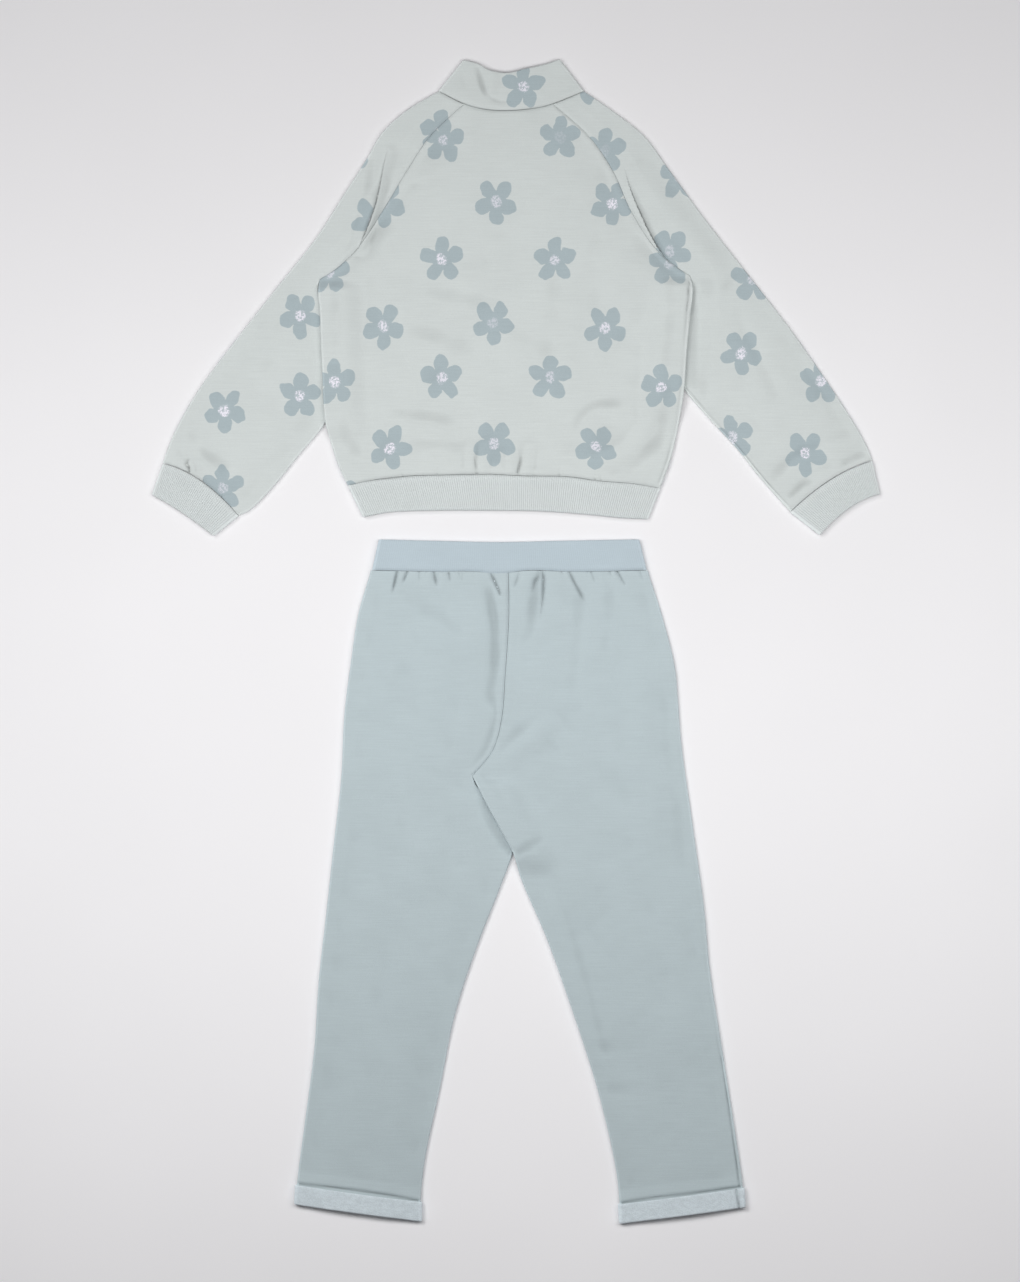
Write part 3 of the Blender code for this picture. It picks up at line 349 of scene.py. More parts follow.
TROUSERS_CREASES = (
    ("soft", 11, (488, 592, -1.1), (495, 625, -1.4), (495, 667, -1.1), (489, 700, -0.5)),
    ("soft", 12, (502, 590, 0.5), (503, 640, 0.5)),
    ("soft", 11, (538, 580, -1.0), (534, 600, -1.2), (529, 632, -0.5)),
    ("soft", 14, (522, 578, 0.8), (520, 620, 0.4)),
    ("soft", 16, (555, 585, 0.8), (553, 625, 0.3)),
    ("sharp", 5, (490, 572, -1.2), (494, 580, -2.0), (499, 592, -1.7), (500, 598, 0)),
    ("sharp", 5, (519, 573, -0.8), (516, 582, -0.9), (512, 591, 0)),
    ("sharp", 6, (538, 570, -1.0), (538.5, 576, -1.6), (535, 582, -1.6), (532, 594, 0)),
    (
        "sharp", 5, (541.5, 570, -1.6), (543, 577, -2.0), (543, 590, -2.0), (542, 603, -1.2),
        (539, 624, 0),
    ),
    ("sharp", 5, (569, 571, -1.4), (574, 582, -1.6), (580.5, 594, -1.4), (584, 602, 0)),
    ("sharp", 4, (397, 572, -1.6), (394.5, 583, -1.6), (391.5, 595, 0)),
    ("sharp", 4, (407.5, 572, -1.4), (405, 578, -1.4), (402, 585, 0)),
    ("sharp", 4, (419, 572, -0.9), (419, 583, 0)),
    ("sharp", 4, (426, 572, -0.9), (428, 581, 0)),
    ("sharp", 4, (441.5, 572, -0.9), (444, 581, 0)),
    ("sharp", 4, (462, 573, -0.8), (462, 585, 0)),
    ("sharp", 4, (561, 571, -1.0), (565, 578, 0)),
    ("sharp", 5, (434, 572, -1.4), (435.5, 580, -1.2), (436.5, 587, 0)),
    ("sharp", 4, (449, 573, -1.3), (450.5, 583, 0)),
    ("sharp", 4, (459, 573, -0.9), (460, 582, 0)),
    ("sharp", 4, (474, 572, -0.6), (475, 582, 0)),
    ("sharp", 4, (587, 571, -1.2), (588.5, 578, 0)),
    ("sharp", 5, (591, 572, -1.4), (594.5, 584, 0)),
    ("sharp", 4, (609, 571, -1.2), (613.5, 580, 0)),
    ("sharp", 5, (617, 571, -1.9), (624.5, 584, -0.6)),
    ("sharp", 4, (640, 572, -0.9), (643, 582, 0)),
    ("soft", 7, (402, 574, 0.8), (400, 586, 0.4)),
    ("soft", 7, (427, 574, 0.8), (428, 586, 0.4)),
    ("soft", 7, (443, 574, 0.7), (443, 586, 0.4)),
    ("soft", 7, (600, 574, 0.8), (604, 586, 0.4)),
    ("soft", 14, (580, 602, -0.6), (572, 680, -0.3)),
    ("soft", 12, (611, 590, -0.3), (604, 650, -0.2)),
    ("soft", 16, (424, 612, -0.4), (440, 618, -0.5), (456, 632, -0.3)),
    ("soft", 8, (494, 700, -0.5), (496, 718, -0.8), (487, 748, -0.9), (475, 766, -0.3)),
    ("soft", 18, (499, 764, 1.2), (544, 727, 1.0)),
    ("soft", 12, (488, 764, 0), (508, 742, -0.3), (536, 722, -0.3), (560, 712, 0)),
    ("soft", 16, (553, 727, 0.6), (572, 745, 0.5)),
    ("soft", 9, (518, 852, -0.8), (539, 840, -0.5)),
    ("soft", 8, (483, 803, -0.3), (493, 828, -0.8), (510, 854, -0.8)),
    (
        "soft", 14, (541, 884, 0.4), (555, 919, 0.8), (575.5, 985, 0.9), (591.5, 1045, 0.9),
        (601, 1068, 0.5),
    ),
    ("soft", 12, (590, 1047, -0.1), (608, 1047, -0.35), (632, 1050, -0.1)),
    ("soft", 12, (602, 1092, -0.1), (618, 1089, -0.35), (642, 1092, -0.1)),
    ("soft", 34, (365, 574, 1.1), (650, 574, 1.1)),
    ("soft", 34, (370, 660, 0.5), (352, 800, 0.4)),
    ("soft", 30, (440, 640, 0.4), (430, 760, 0.5)),
    ("soft", 34, (640, 680, 0.5), (655, 820, 0.5)),
    ("soft", 30, (420, 850, 0.5), (400, 1000, 0.4)),
    ("soft", 30, (620, 880, 0.4), (650, 1020, 0.5)),
    ("sharp", 4, (296, 1182.6, -1.2), (351, 1188.6, -1.2), (392, 1194.8, -1.2), (421, 1200.4, -1.2)),
    ("sharp", 4, (619, 1202.6, -1.2), (656, 1196.4, -1.2), (692, 1192.2, -1.2), (745, 1185.2, -1.2)),
)
# Creases of the hidden undersides, which only stand up from the surface that they lie on
FRONT_SWEATSHIRT_CREASES = (
    ("soft", 16, (420, 190, 0.9), (470, 178, 0.6)),
    ("soft", 18, (560, 190, 0.8), (600, 215, 0.6)),
    ("soft", 16, (400, 430, 1.0), (450, 436, 0.8)),
    ("soft", 14, (560, 430, 0.9), (610, 420, 0.7)),
    ("sharp", 7, (470, 448, 0), (472, 472, 1.2)),
    ("sharp", 7, (545, 450, 0), (543, 472, 1.2)),
    ("soft", 14, (230, 400, 0.7), (205, 440, 0.8)),
    ("soft", 14, (790, 400, 0.7), (815, 440, 0.8)),
    ("soft", 20, (380, 250, 0.6), (390, 330, 0.5)),
)
FRONT_TROUSERS_CREASES = (
    ("soft", 16, (480, 590, 0.9), (484, 660, 0.6)),
    ("soft", 16, (545, 590, 0.9), (540, 660, 0.6)),
    ("sharp", 6, (400, 574, 1.4), (398, 600, 0)),
    ("sharp", 6, (440, 574, 1.2), (441, 592, 0)),
    ("sharp", 6, (575, 574, 1.4), (582, 598, 0)),
    ("sharp", 6, (610, 574, 1.2), (616, 590, 0)),
    ("soft", 18, (470, 770, 0.9), (520, 735, 0.8)),
    ("soft", 16, (380, 900, 0.6), (372, 1000, 0.5)),
    ("soft", 16, (630, 920, 0.6), (650, 1030, 0.5)),
)

# Unevenness of cloth that has been laid out by hand: wavelength and height of its waves in mm, how
# many there are of each, and the shares of the wavelength between which theirs lie
UNEVEN = ((150, 0.22), (85, 0.14), (42, 0.07), (21, 0.025))
WAVES_EACH = 3
WAVE_STRETCH = (0.75, 1.25)
SEEDS = {
    "body": 3, "sleeve_left": 5, "sleeve_right": 7, "collar": 11, "hem_band": 13, "waistband": 17,
    "leg_left": 19, "leg_right": 23, "turnup_left": 29, "turnup_right": 31, "cuff_left": 37,
    "cuff_right": 41,
}

# Seams that run inside an edge on the upper side: (x, y, height) as for the creases
SEAM_WIDTH = 2.6
BODY_SIDE_SEAM = (
    (689, 283, -0.9), (686, 317, -0.9), (683.4, 356, -0.9), (681.3, 384.5, -0.9), (678.5, 407, -0.9),
    (675, 428, -0.9), (668, 457, -0.9), (658.5, 484, -0.9),
)
SLEEVE_RIGHT_SEAM = (
    (686.5, 388.5, -0.9), (710.8, 417, -0.9), (739.3, 448, -0.9), (762.2, 476.5, -0.9),
    (791, 509.5, -0.9),
)
LEG_SIDE_SEAM = (
    (672, 669, 0), (689.5, 826, -0.2), (701.3, 912, -0.3), (706, 965, -0.3), (718, 1045, -0.4),
    (722.5, 1065, -1.0), (734.6, 1150, -1.1), (739, 1186, -1.1),
)
TURNUP_SEAM = (
    ("sharp", 2.6, (735.3, 1186, -1.6), (738.9, 1209, -1.6)),
    ("soft", 6, (742, 1190, 0.6), (745, 1206, 0.6)),
)

# The printed flowers: centre in the photograph's pixels, turn in degrees, how bright its middle is
BODY_FLOWERS = (
    (443.5, 141, 3, 0.6), (560, 138, 4, 0.15), (496, 203, 180, 0.6),
    (611.5, 204, 176, 1.0), (384.5, 204, 180, 0.2), (442, 260, -2, 0.9),
    (555, 261, 0, 0.7), (669.5, 264.5, 0, 0.4), (329, 273, 0, 0.5),
    (383, 327, 176, 0.8), (493, 323, 176, 0.35), (605, 328.5, 181, 0.8),
    (335, 383.5, -3, 1.0), (442, 378.5, -3, 0.8), (549.5, 378, 3, 0.5),
    (661, 388.5, 0, 0.9), (390.5, 448, 168, 1.0), (494, 443, 179, 0.7),
    (595.5, 447.5, 180, 0.8), (351, 504, 0, 0.4),
)
SLEEVE_LEFT_FLOWERS = (
    (440, 133, 4, 0.3), (300.5, 316, 180, 0.9), (300.5, 396, 2, 0.9),
    (225, 411.5, 180, 1.0), (223, 488, 0, 0.5), (373, 221, 180, 0.3),
    (349, 151, -18, 0.3),
)
SLEEVE_RIGHT_FLOWERS = (
    (605, 151.5, 0, 0.15), (680, 178.5, 0, 0.4), (670, 252, 180, 0.4),
    (752.5, 280, 0, 0.5), (741, 353.5, 180, 0.9), (820.5, 382, 0, 0.9),
    (732.5, 438, -12, 0.7), (805, 453.5, 178, 1.0), (587.5, 81, 180, 0.3),
)
COLLAR_FLOWERS = ((523, 88, 2, 0.8), (620, 40, 180, 0.4))
# The left sleeve's cloth on the right of this line laps over a flower: (x, y) in the same pixels
LAP_LINE = ((381, 190), (361, 246))
# The hidden sides' half-drop repeat: its steps in pixels, the place of row 0 in millimetres,
# and the limits between which each flower strays in x, y and turn, and between which its shine lies
FRONT_FLOWER_STEP = (110, 60)
FRONT_FLOWER_START = 110
FRONT_FLOWER_ROWS = range(-3, 11)
FRONT_FLOWER_COLUMNS = range(-4, 5)
FRONT_FLOWER_STRAY = ((-4, 4), (-3, 3), (-6, 6), (0.3, 1))
# What cloth without a flower gets for its place, and which faces count as the upper side
NO_FLOWER = 100.0
UPPER_SIDE = -0.05
# A flower's own number is its place times these, so that no two have the same noise
FLOWER_NUMBER = (0.37, 0.71)

# One flower's form in millimetres
PETALS = 5
PETAL_CENTRE = 14.0
PETAL_HALF_LENGTH = 8.6
PETAL_HALF_WIDTH = 7.5
FLOWER_CORE = 11.2
FLOWER_MIDDLE = 5.6
FLOWER_REACH = 32.0
# The motif is a little taller than it is wide
FLOWER_STRETCH = 1.08
# How its petals and its middle's edge wander: waves for each mm, reach in mm and detail of the noise
PETAL_WANDER = ((0.075, 7, 1.0), (0.6, 0.7, 2.0))
SPECK_REACH = 7.0

# Colours as they are seen, in sRGB
SAGE = (205, 211, 210)
PETAL_GREY = (165, 179, 184)
SILVER = (238, 235, 245)
RIB_SAGE = (210, 216, 216)
BLUE_GREY = (186, 199, 203)
WAIST_BLUE = (184, 198, 206)
WRONG_SIDE = (216, 227, 233)
SAGE_INSIDE = (214, 219, 217)
FLOOR = (240, 239, 241)

# How rough and how fuzzy the cloths are, their wales' pitch and the height of their nap in metres
SPECULAR = 0.18
SHEEN_ROUGHNESS = 0.55
FLEECE_ROUGHNESS = 0.93
RIB_ROUGHNESS = 0.9
FUZZY_ROUGHNESS = 0.96
FLOOR_ROUGHNESS = 0.85
FLEECE_SHEEN = 0.4
FUZZY_SHEEN = 0.5
WALE = 0.0009
FLEECE_BUMP = 0.00022
RIB_BUMP = 0.00015
FUZZY_BUMP = 0.0003
FLOOR_BUMP = 0.00004
# Painted shade: how bright the valleys between ribs are painted, beside the ribs
RIB_VALLEY = 0.88
WAIST_VALLEY = 0.95

# The stage, in metres
FLOOR_HALF = 6.0
FLOOR_BELOW = 0.0004
CAMERA_HEIGHT = 3.74
SENSOR = 36.0
LENS = 100.0
# Each light's name, place, target, size and energy
LIGHTS = (
    ("overhead", (0, 0.1, 1.25), (0, 0.1, 0), (2.6, 0.6), 19.5),
    ("key", (-2.6, 2.6, 4.6), (0, 0, 0), (1.6, 1.6), 70),
)
LIGHT_COLOUR = (1.0, 0.998, 0.995)
WORLD_COLOUR = (0.985, 0.985, 1.0, 1)
WORLD_STRENGTH = 0.12

# What each piece was cut to, in metres: width all round, length, and area in square metres
Cut = namedtuple("Cut", "width length area rests_on")
CUTS = {
    "body_front": Cut(0.395, 0.405, 0.121, ()),
    "body_back": Cut(0.395, 0.405, 0.123, ("body_front", "sleeve_left", "sleeve_right")),
    "sleeve_left": Cut(0.275, 0.455, 0.072, ()),
    "sleeve_right": Cut(0.285, 0.450, 0.081, ()),
    "collar": Cut(0.315, 0.052, 0.0122, ()),
    "cuff_left": Cut(0.194, 0.037, 0.0071, ()),
    "cuff_right": Cut(0.204, 0.038, 0.0072, ()),
    "hem_band": Cut(0.656, 0.0385, 0.0252, ()),
    "waistband": Cut(0.577, 0.034, 0.0195, ()),
    "leg_front_left": Cut(0.185, 0.70, 0.105, ()),
    "leg_front_right": Cut(0.205, 0.70, 0.114, ("leg_back_left",)),
    "leg_back_left": Cut(0.185, 0.70, 0.105, ("leg_front_left",)),
    "leg_back_right": Cut(0.205, 0.70, 0.114, ("leg_front_right",)),
    "turnup_left": Cut(0.272, 0.0245, 0.0064, ()),
    "turnup_right": Cut(0.272, 0.0245, 0.0063, ()),
}


def from_photo(px, py):
    return PHOTO_LEFT + PHOTO_SCALE * px, PHOTO_TOP - PHOTO_SCALE * py


def between(start, end, share):
    return start + (end - start) * share


def smooth_step(value):
    value = np.clip(value, 0, 1)
    return value * value * (3 - 2 * value)


class Curve:
    """A smooth curve through (place, value) rows, for a number or an array of places."""

    def __init__(self, rows):
        self.places, self.values = np.array(sorted(rows), float).T
        spans = np.diff(self.values) / np.diff(self.places)
        self.slopes = np.concatenate((spans[:1], (spans[1:] + spans[:-1]) / 2, spans[-1:]))

    def __call__(self, place):
        place = np.clip(place, self.places[0], self.places[-1])
        k = np.clip(np.searchsorted(self.places, place) - 1, 0, len(self.places) - 2)
        length = self.places[k + 1] - self.places[k]
        t = (place - self.places[k]) / length
        return (
            self.values[k] * (1 + 2 * t) * (1 - t) ** 2
            + self.slopes[k] * length * t * (1 - t) ** 2
            + self.values[k + 1] * t * t * (3 - 2 * t)
            + self.slopes[k + 1] * length * t * t * (t - 1)
        )


raglan_left, raglan_right = Curve(RAGLAN_LEFT), Curve(RAGLAN_RIGHT)
body_left, body_right = Curve(BODY_LEFT), Curve(BODY_RIGHT)
neck_seam, hem_seam, waist_seam = Curve(NECK_SEAM), Curve(HEM_SEAM), Curve(WAIST_SEAM)
leg_right_inner = Curve(LEG_RIGHT_INNER)
turnup_left_top, turnup_right_top = Curve(TURNUP_LEFT_TOP), Curve(TURNUP_RIGHT_TOP)


def flat(*_):
    return 0.0


def tuck_lift(tuck, inward, y):
    """How much higher the upper of two tucked layers lies, inward from its edge."""
    start = (tuck.top - y) / (tuck.top - tuck.full_top)
    end = (y - tuck.end) / (tuck.full_end - tuck.end)
    away = (TUCK_END - inward) / (TUCK_END - TUCK_FULL)
    return TUCK_LIFT * smooth_step(np.minimum(start, end)) * smooth_step(away)


def body_low(x, y):
    left = tuck_lift(TUCK_LEFT, x - body_left(y), y)
    return np.maximum(left, tuck_lift(TUCK_RIGHT, body_right(y) - x, y))


def turnup_low(top_line, x, y):
    return TURNUP_LAYER * np.clip(1 - (y - top_line(x)) / TURNUP_RAMP, 0, 1)


def leg_right_low(x, y):
    tucked = tuck_lift(LEG_TUCK, x - leg_right_inner(y), y)
    return np.maximum(tucked, turnup_low(turnup_right_top, x, y))


def leg_left_low(x, y):
    return turnup_low(turnup_left_top, x, y)


def rounded(away):
    return np.cos(np.pi / 2 * np.clip(away, 0, 1)) ** 2


def crease_profile(kind, away, side):
    """A crease's height across itself, as a share of its height along: away is 1 at its width."""
    if kind == "sharp":
        return np.clip(1 - away, 0, 1) ** SHARP_POWER
    if kind == "soft":
        return rounded(away)
    return np.where(side > 0, rounded(away), -LAP_DROP * rounded(away * LAP_SLOPE))


def smooth_path(points):
    """More points along a smooth curve through rows of numbers."""
    rows = np.array(points, float)
    if len(rows) < 3:
        return rows
    steps = np.linspace(0, len(rows) - 1, (len(rows) - 1) * PATH_PARTS + 1)
    return np.column_stack([Curve(list(enumerate(column)))(steps) for column in rows.T])


def faded(path, width):
    """The path with a run at each end in which its height fades to nothing."""
    beyond = []
    for end, inner in ((path[0], path[1]), (path[-1], path[-2])):
        way = end[:2] - inner[:2]
        beyond.append(np.append(end[:2] + way / np.hypot(*way) * FADE * width, 0))
    return np.vstack((beyond[0], path, beyond[1]))


def crease_height(crease, x, y):
    kind, width, *points = crease
    width *= SHARP_NARROWING if kind == "sharp" else 1
    path = smooth_path([(*from_photo(px, py), height) for px, py, height in points])
    if kind == "soft":
        path = faded(path, width)
    total = np.zeros_like(x)
    low, high = path.min(axis=0) - width, path.max(axis=0) + width
    near = (x > low[0]) & (x < high[0]) & (y > low[1]) & (y < high[1])
    if not near.any():
        return total
    x, y = x[near], y[near]
    best, height, side = np.full(x.shape, np.inf), np.zeros_like(x), np.zeros_like(x)
    for (x0, y0, h0), (x1, y1, h1) in zip(path, path[1:]):
        run_x, run_y = x1 - x0, y1 - y0
        along = ((x - x0) * run_x + (y - y0) * run_y) / (run_x**2 + run_y**2)
        along = np.clip(along, 0, 1)
        off_x, off_y = x - x0 - along * run_x, y - y0 - along * run_y
        away = np.hypot(off_x, off_y)
        closer = away < best
        best = np.where(closer, away, best)
        height = np.where(closer, between(h0, h1, along), height)
        side = np.where(closer, run_x * off_y - run_y * off_x, side)
    total[near] = CREASE_GAIN * height * crease_profile(kind, best / width, side)
    return total


def unevenness(seed, x, y):
    random = np.random.default_rng(seed)
    total = 0.0
    for wavelength, height in UNEVEN:
        for turn, phase, stretch in random.uniform(0, 1, (WAVES_EACH, 3)):
            angle = 2 * math.pi * turn
            pitch = 2 * math.pi / (wavelength * between(*WAVE_STRETCH, stretch))
            along = x * math.cos(angle) + y * math.sin(angle)
            total = total + height * np.sin(pitch * along + 2 * math.pi * phase)
    return total


def relief(creases, seed=None, seams=()):
    """A function for the height of creases, unevenness and inner seams over the plain cloth."""
    grooves = [("sharp", SEAM_WIDTH, *seam) for seam in seams]

    def height(x, y):
        total = unevenness(seed, x, y) if seed is not None else np.zeros_like(x)
        for crease in (*creases, *grooves):
            total = total + crease_height(crease, x, y)
        return total

    return height


def hidden_relief(creases):
    heights = relief(creases)
    return lambda x, y: np.maximum(heights(x, y), 0)


def spaced(length, step, sewn_end=False):
    """Places from a seam at 0 to length, about a step apart but closer together at seams."""
    end = SEAM_STEPS if sewn_end else (0,)
    count = max(round((length - SEAM_STEPS[-1] - end[-1]) / step), 2)
    middle = np.linspace(SEAM_STEPS[-1], length - end[-1], count + 1)
    return np.concatenate((SEAM_STEPS[:-1], middle, length - np.array(end[:-1])[::-1]))


Columns = namedtuple("Columns", "on_b share turn shift raised inside")


def columns(*runs):
    """Places round a section, from runs of (on_b, shares, turns, shifts, raised heights)."""
    rows = [np.column_stack(np.broadcast_arrays(*map(np.atleast_1d, run))) for run in runs]
    on_b, share, turn, shift, raised = np.concatenate(rows).astype(float).T
    inside = np.abs(turn) < 1
    inside[::INSIDE_EVERY] = True
    inside[-1] = True
    return Columns(on_b > 0.5, share, turn, shift, raised, inside)


def top_shares(width, fold, step):
    return np.linspace(0, 1, max(round((width - 2 * fold) / step), 2) + 1)


def fold_turns(sign=1):
    """The turns round a fold from its seam, and how far off the seam's middle each one is."""
    turns = sign * np.array(FOLD_TURNS)
    return turns, np.where(turns == 0, sign * SEAM_GAP / 2, 0)


def panel_columns(width, front):
    """Across a panel that is the under half, or the upper half, of a flat tube."""
    sign, step = (-1, HIDDEN_STEP) if front else (1, SEEN_STEP)
    turns, shifts = fold_turns(sign)
    shares = top_shares(width, FLEECE_FOLD, step)
    edge_a, edge_b = (0, 0, turns, shifts, 0), (1, 0, turns[::-1], shifts[::-1], 0)
    return columns(edge_a, (0, shares, sign * 90, 0, 0), edge_b)


def round_columns(slit_on_b, shares, under_shares, raised=0, under_raised=0):
    """All round a tube whose seam lies at the fold on its edge b, or on its edge a."""
    turns, shifts = fold_turns()
    raised = np.broadcast_to(raised, shares.shape)
    under_raised = np.broadcast_to(under_raised, under_shares.shape)
    near, way = (1, -1) if slit_on_b else (0, 1)
    return columns(
        (near, 0, turns, shifts, 0),
        (0, shares[::way], 90, 0, raised[::way]),
        (1 - near, 0, np.concatenate((turns[::-1], -turns[1:])), 0, 0),
        (0, under_shares[::-way], -90, 0, under_raised[::-way]),
        (near, 0, -turns[::-1], -shifts[::-1], 0),
    )


def rib_columns(slit_on_b, width, height=RIB_HEIGHT, steps=RIB_STEPS):
    """All round a ribbed tube: rounded ribs with narrow valleys."""
    count = round(width / RIB_PITCH)
    shares = np.linspace(0, 1, count * steps + 1)
    raised = height * np.abs(np.sin(np.pi * count * shares)) ** RIB_ROUNDNESS
    return round_columns(slit_on_b, shares, shares[::2], raised, raised[::2])


class Tube:
    """Rows of sections across a flat tube of cloth, each from its edge a to its edge b."""

    def __init__(self, a, b, around, fold, cloth, **options):
        self.a, self.b, self.around, self.fold = a, b, around, fold
        zero = np.zeros((len(a), 1))
        self.bow = self.low = self.relief = self.hidden = flat
        self.swell = self.edge_layer = 0.0
        self.open_a = self.open_b = self.outer_depth = self.inner_back = zero
        self.sewn = zero + FAR
        for name, value in options.items():
            setattr(self, name, value)
        self.under_bow = options.get("under_bow", self.bow)
        self.inner_depth = options.get("inner_depth", cloth - self.outer_depth)
        self.width = np.hypot(*(b - a).T)[:, None]

    def points(self, outer):
        """The outer or inner surface's points in millimetres."""
        around, radius = self.around, self.fold
        depth = self.outer_depth if outer else self.inner_depth
        turn = np.radians(around.turn)
        opened = np.where(around.on_b, self.open_b, self.open_a) * (np.abs(around.turn) < 90)
        reach = radius - (radius - depth * (1 - opened)) * np.cos(turn)
        from_a = reach + around.share * (self.width - 2 * radius)
        across = np.where(around.on_b, self.width - reach, from_a)
        side = np.where(around.turn + around.shift > 0, 1.0, -1.0)
        rise = between(np.sin(turn), side, opened)
        height = between((radius - depth) * np.sin(turn), side * (radius - depth), opened)
        share = across / self.width
        x = between(self.a[:, :1], self.b[:, :1], share)
        y = between(self.a[:, 1:], self.b[:, 1:], share)
        y = y + np.where(rise < 0, self.under_bow(x, share), self.bow(x, share))
        y = y + (0 if outer else self.inner_back)
        z = self.low(x, y) + radius + height + around.shift * (np.abs(rise) < 0.5)
        inward = np.minimum(across, self.width - across) - self.edge_layer
        puff = self.swell * smooth_step((inward - SWELL_START) / SWELL_SPAN) + self.relief(x, y)
        z = z + np.where(rise > 0, rise * puff, -rise * self.hidden(x, y))
        if outer:
            seam = np.minimum(self.sewn, across + FAR * (1 - self.open_a))
            seam = np.minimum(seam, self.width - across + FAR * (1 - self.open_b))
            roll = ROLL * np.exp(-((seam / ROLL_WIDTH) ** 2))
            ridge = RIDGE * np.exp(-(((seam - RIDGE_AWAY) / RIDGE_WIDTH) ** 2))
            below = np.where(rise < 0, around.raised.max(), 0)
            ribbed = 1 - np.exp(-((self.sewn / ROLL_WIDTH) ** 2))
            z = z + rise * ((around.raised - below) * ribbed - roll)
            z = z + np.where(rise > 0, rise * ridge, 0)
        return np.stack((x, y, z), axis=-1)


def hollows(heights, reach):
    """How far places lie in hollows, from 0 on even cloth to 1 in a sharp crease, for painted shade.
    """
    blurred = heights
    for axis in (0, 1):
        sides = [(reach, reach) if k == axis else (0, 0) for k in (0, 1)]
        padded = np.pad(blurred, sides, mode="edge")
        size = blurred.shape[axis]
        shifts = [np.take(padded, range(k, k + size), axis) for k in range(2 * reach + 1)]
        blurred = np.mean(shifts, axis=0)
    return np.clip((blurred - heights - HOLLOW_START) / HOLLOW_DEPTH, 0, 1)


def read(items, key, width=1):
    """One property of all items as an array: whole numbers, or rows of measures."""
    values = np.empty(len(items) * width, int if width == 1 else float)
    items.foreach_get(key, values)
    return values if width == 1 else values.reshape(-1, width)


def add_map(data, name, first, second):
    """Two values for each face's corners, kept as a UV map that the materials read."""
    layer = data.uv_layers.new(name=name)
    layer.data.foreach_set("uv", np.column_stack((first, second)).ravel())


def linked(name, data):
    item = bpy.data.objects.new(name, data)
    bpy.context.scene.collection.objects.link(item)
    return item


def grid_faces(index):
    corners = (index[:-1, :-1], index[1:, :-1], index[1:, 1:], index[:-1, 1:])
    return np.stack([corner.ravel() for corner in corners], axis=-1).tolist()


def rim_faces(outer, inner, keys):
    """Faces from an outer edge to the inner edge, which has only some of its places."""
    spans = zip(keys, keys[1:], inner.tolist(), inner[1:].tolist())
    return [[*outer[start:end + 1].tolist(), last, first] for start, end, first, last in spans]


def turned(faces):
    return [face[::-1] for face in faces]


def wall(node, tube, materials):
    """A closed wall of cloth: a fine outer surface, a coarser inner one, and rims between them."""
    around = tube.around
    outer, inner = tube.points(True), tube.points(False)
    rows, count = outer.shape[:2]
    row_keys = np.unique([*range(0, rows, INSIDE_EVERY), rows - 1])
    column_keys = np.flatnonzero(around.inside)
    inner = inner[np.ix_(row_keys, column_keys)]
    outer_index = np.arange(rows * count).reshape(rows, count)
    inner_index = rows * count + np.arange(inner[..., 0].size).reshape(inner.shape[:2])
    faces = grid_faces(outer_index)
    faces += rim_faces(outer_index[0], inner_index[0], column_keys)
    faces += turned(rim_faces(outer_index[:, 0], inner_index[:, 0], row_keys))
    faces += turned(rim_faces(outer_index[-1], inner_index[-1], column_keys))
    faces += rim_faces(outer_index[:, -1], inner_index[:, -1], row_keys)
    slots = [0] * len(faces)
    faces += turned(grid_faces(inner_index))
    slots += [1] * (len(faces) - len(slots))

    # Faces look outwards: up on the upper side and down on the underside
    level = np.flatnonzero(np.abs(around.turn) == 90)
    row, column = rows // 2, level[len(level) // 3]
    corner = outer[row, column]
    normal = np.cross(outer[row + 1, column] - corner, outer[row, column + 1] - corner)
    if normal[2] * around.turn[column] < 0:
        faces = turned(faces)

    points = np.concatenate((outer.reshape(-1, 3), inner.reshape(-1, 3)))
    data = bpy.data.meshes.new(f"cloth_{node}")
    data.from_pydata(((points + (SHIFT_X, SHIFT_Y, 0)) * MM).tolist(), [], faces)
    data.polygons.foreach_set("material_index", slots)
    data.update()
    data.shade_smooth()
    data.set_sharp_from_angle(angle=math.radians(SHARP_EDGE))
    for material in materials:
        data.materials.append(material)

    # The first map holds how far each point lies in a hollow, for painted shade, and how far out on a
    # rolled edge, for painted light
    heights = outer[..., 2] - tube.low(outer[..., 0], outer[..., 1])
    wide = WIDE_SHARE * hollows(heights, WIDE_REACH)
    hollow = np.where(around.turn == 90, np.maximum(hollows(heights, HOLLOW_REACH), wide), 0)
    closed = 1 - np.where(around.on_b, tube.open_b, tube.open_a)
    edge = closed * np.cos(np.radians(around.turn))
    plain = np.zeros(inner_index.size)
    corners = read(data.loops, "vertex_index")
    hollow, edge = (np.append(values.ravel(), plain)[corners] for values in (hollow, edge))
    add_map(data, "hollow", hollow, edge)
    if around.raised.any():
        ridges = np.where(np.abs(around.turn) == 90, around.raised / around.raised.max(), 1)
        ridges = np.append(np.tile(ridges, rows), plain + 1)[corners]
        add_map(data, "rib", ridges, ridges)
    piece = linked(f"cloth_{node}", data)
    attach(piece, "root")
    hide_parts(node)
    return piece


Rows = namedtuple("Rows", "a b gaps sewn values")


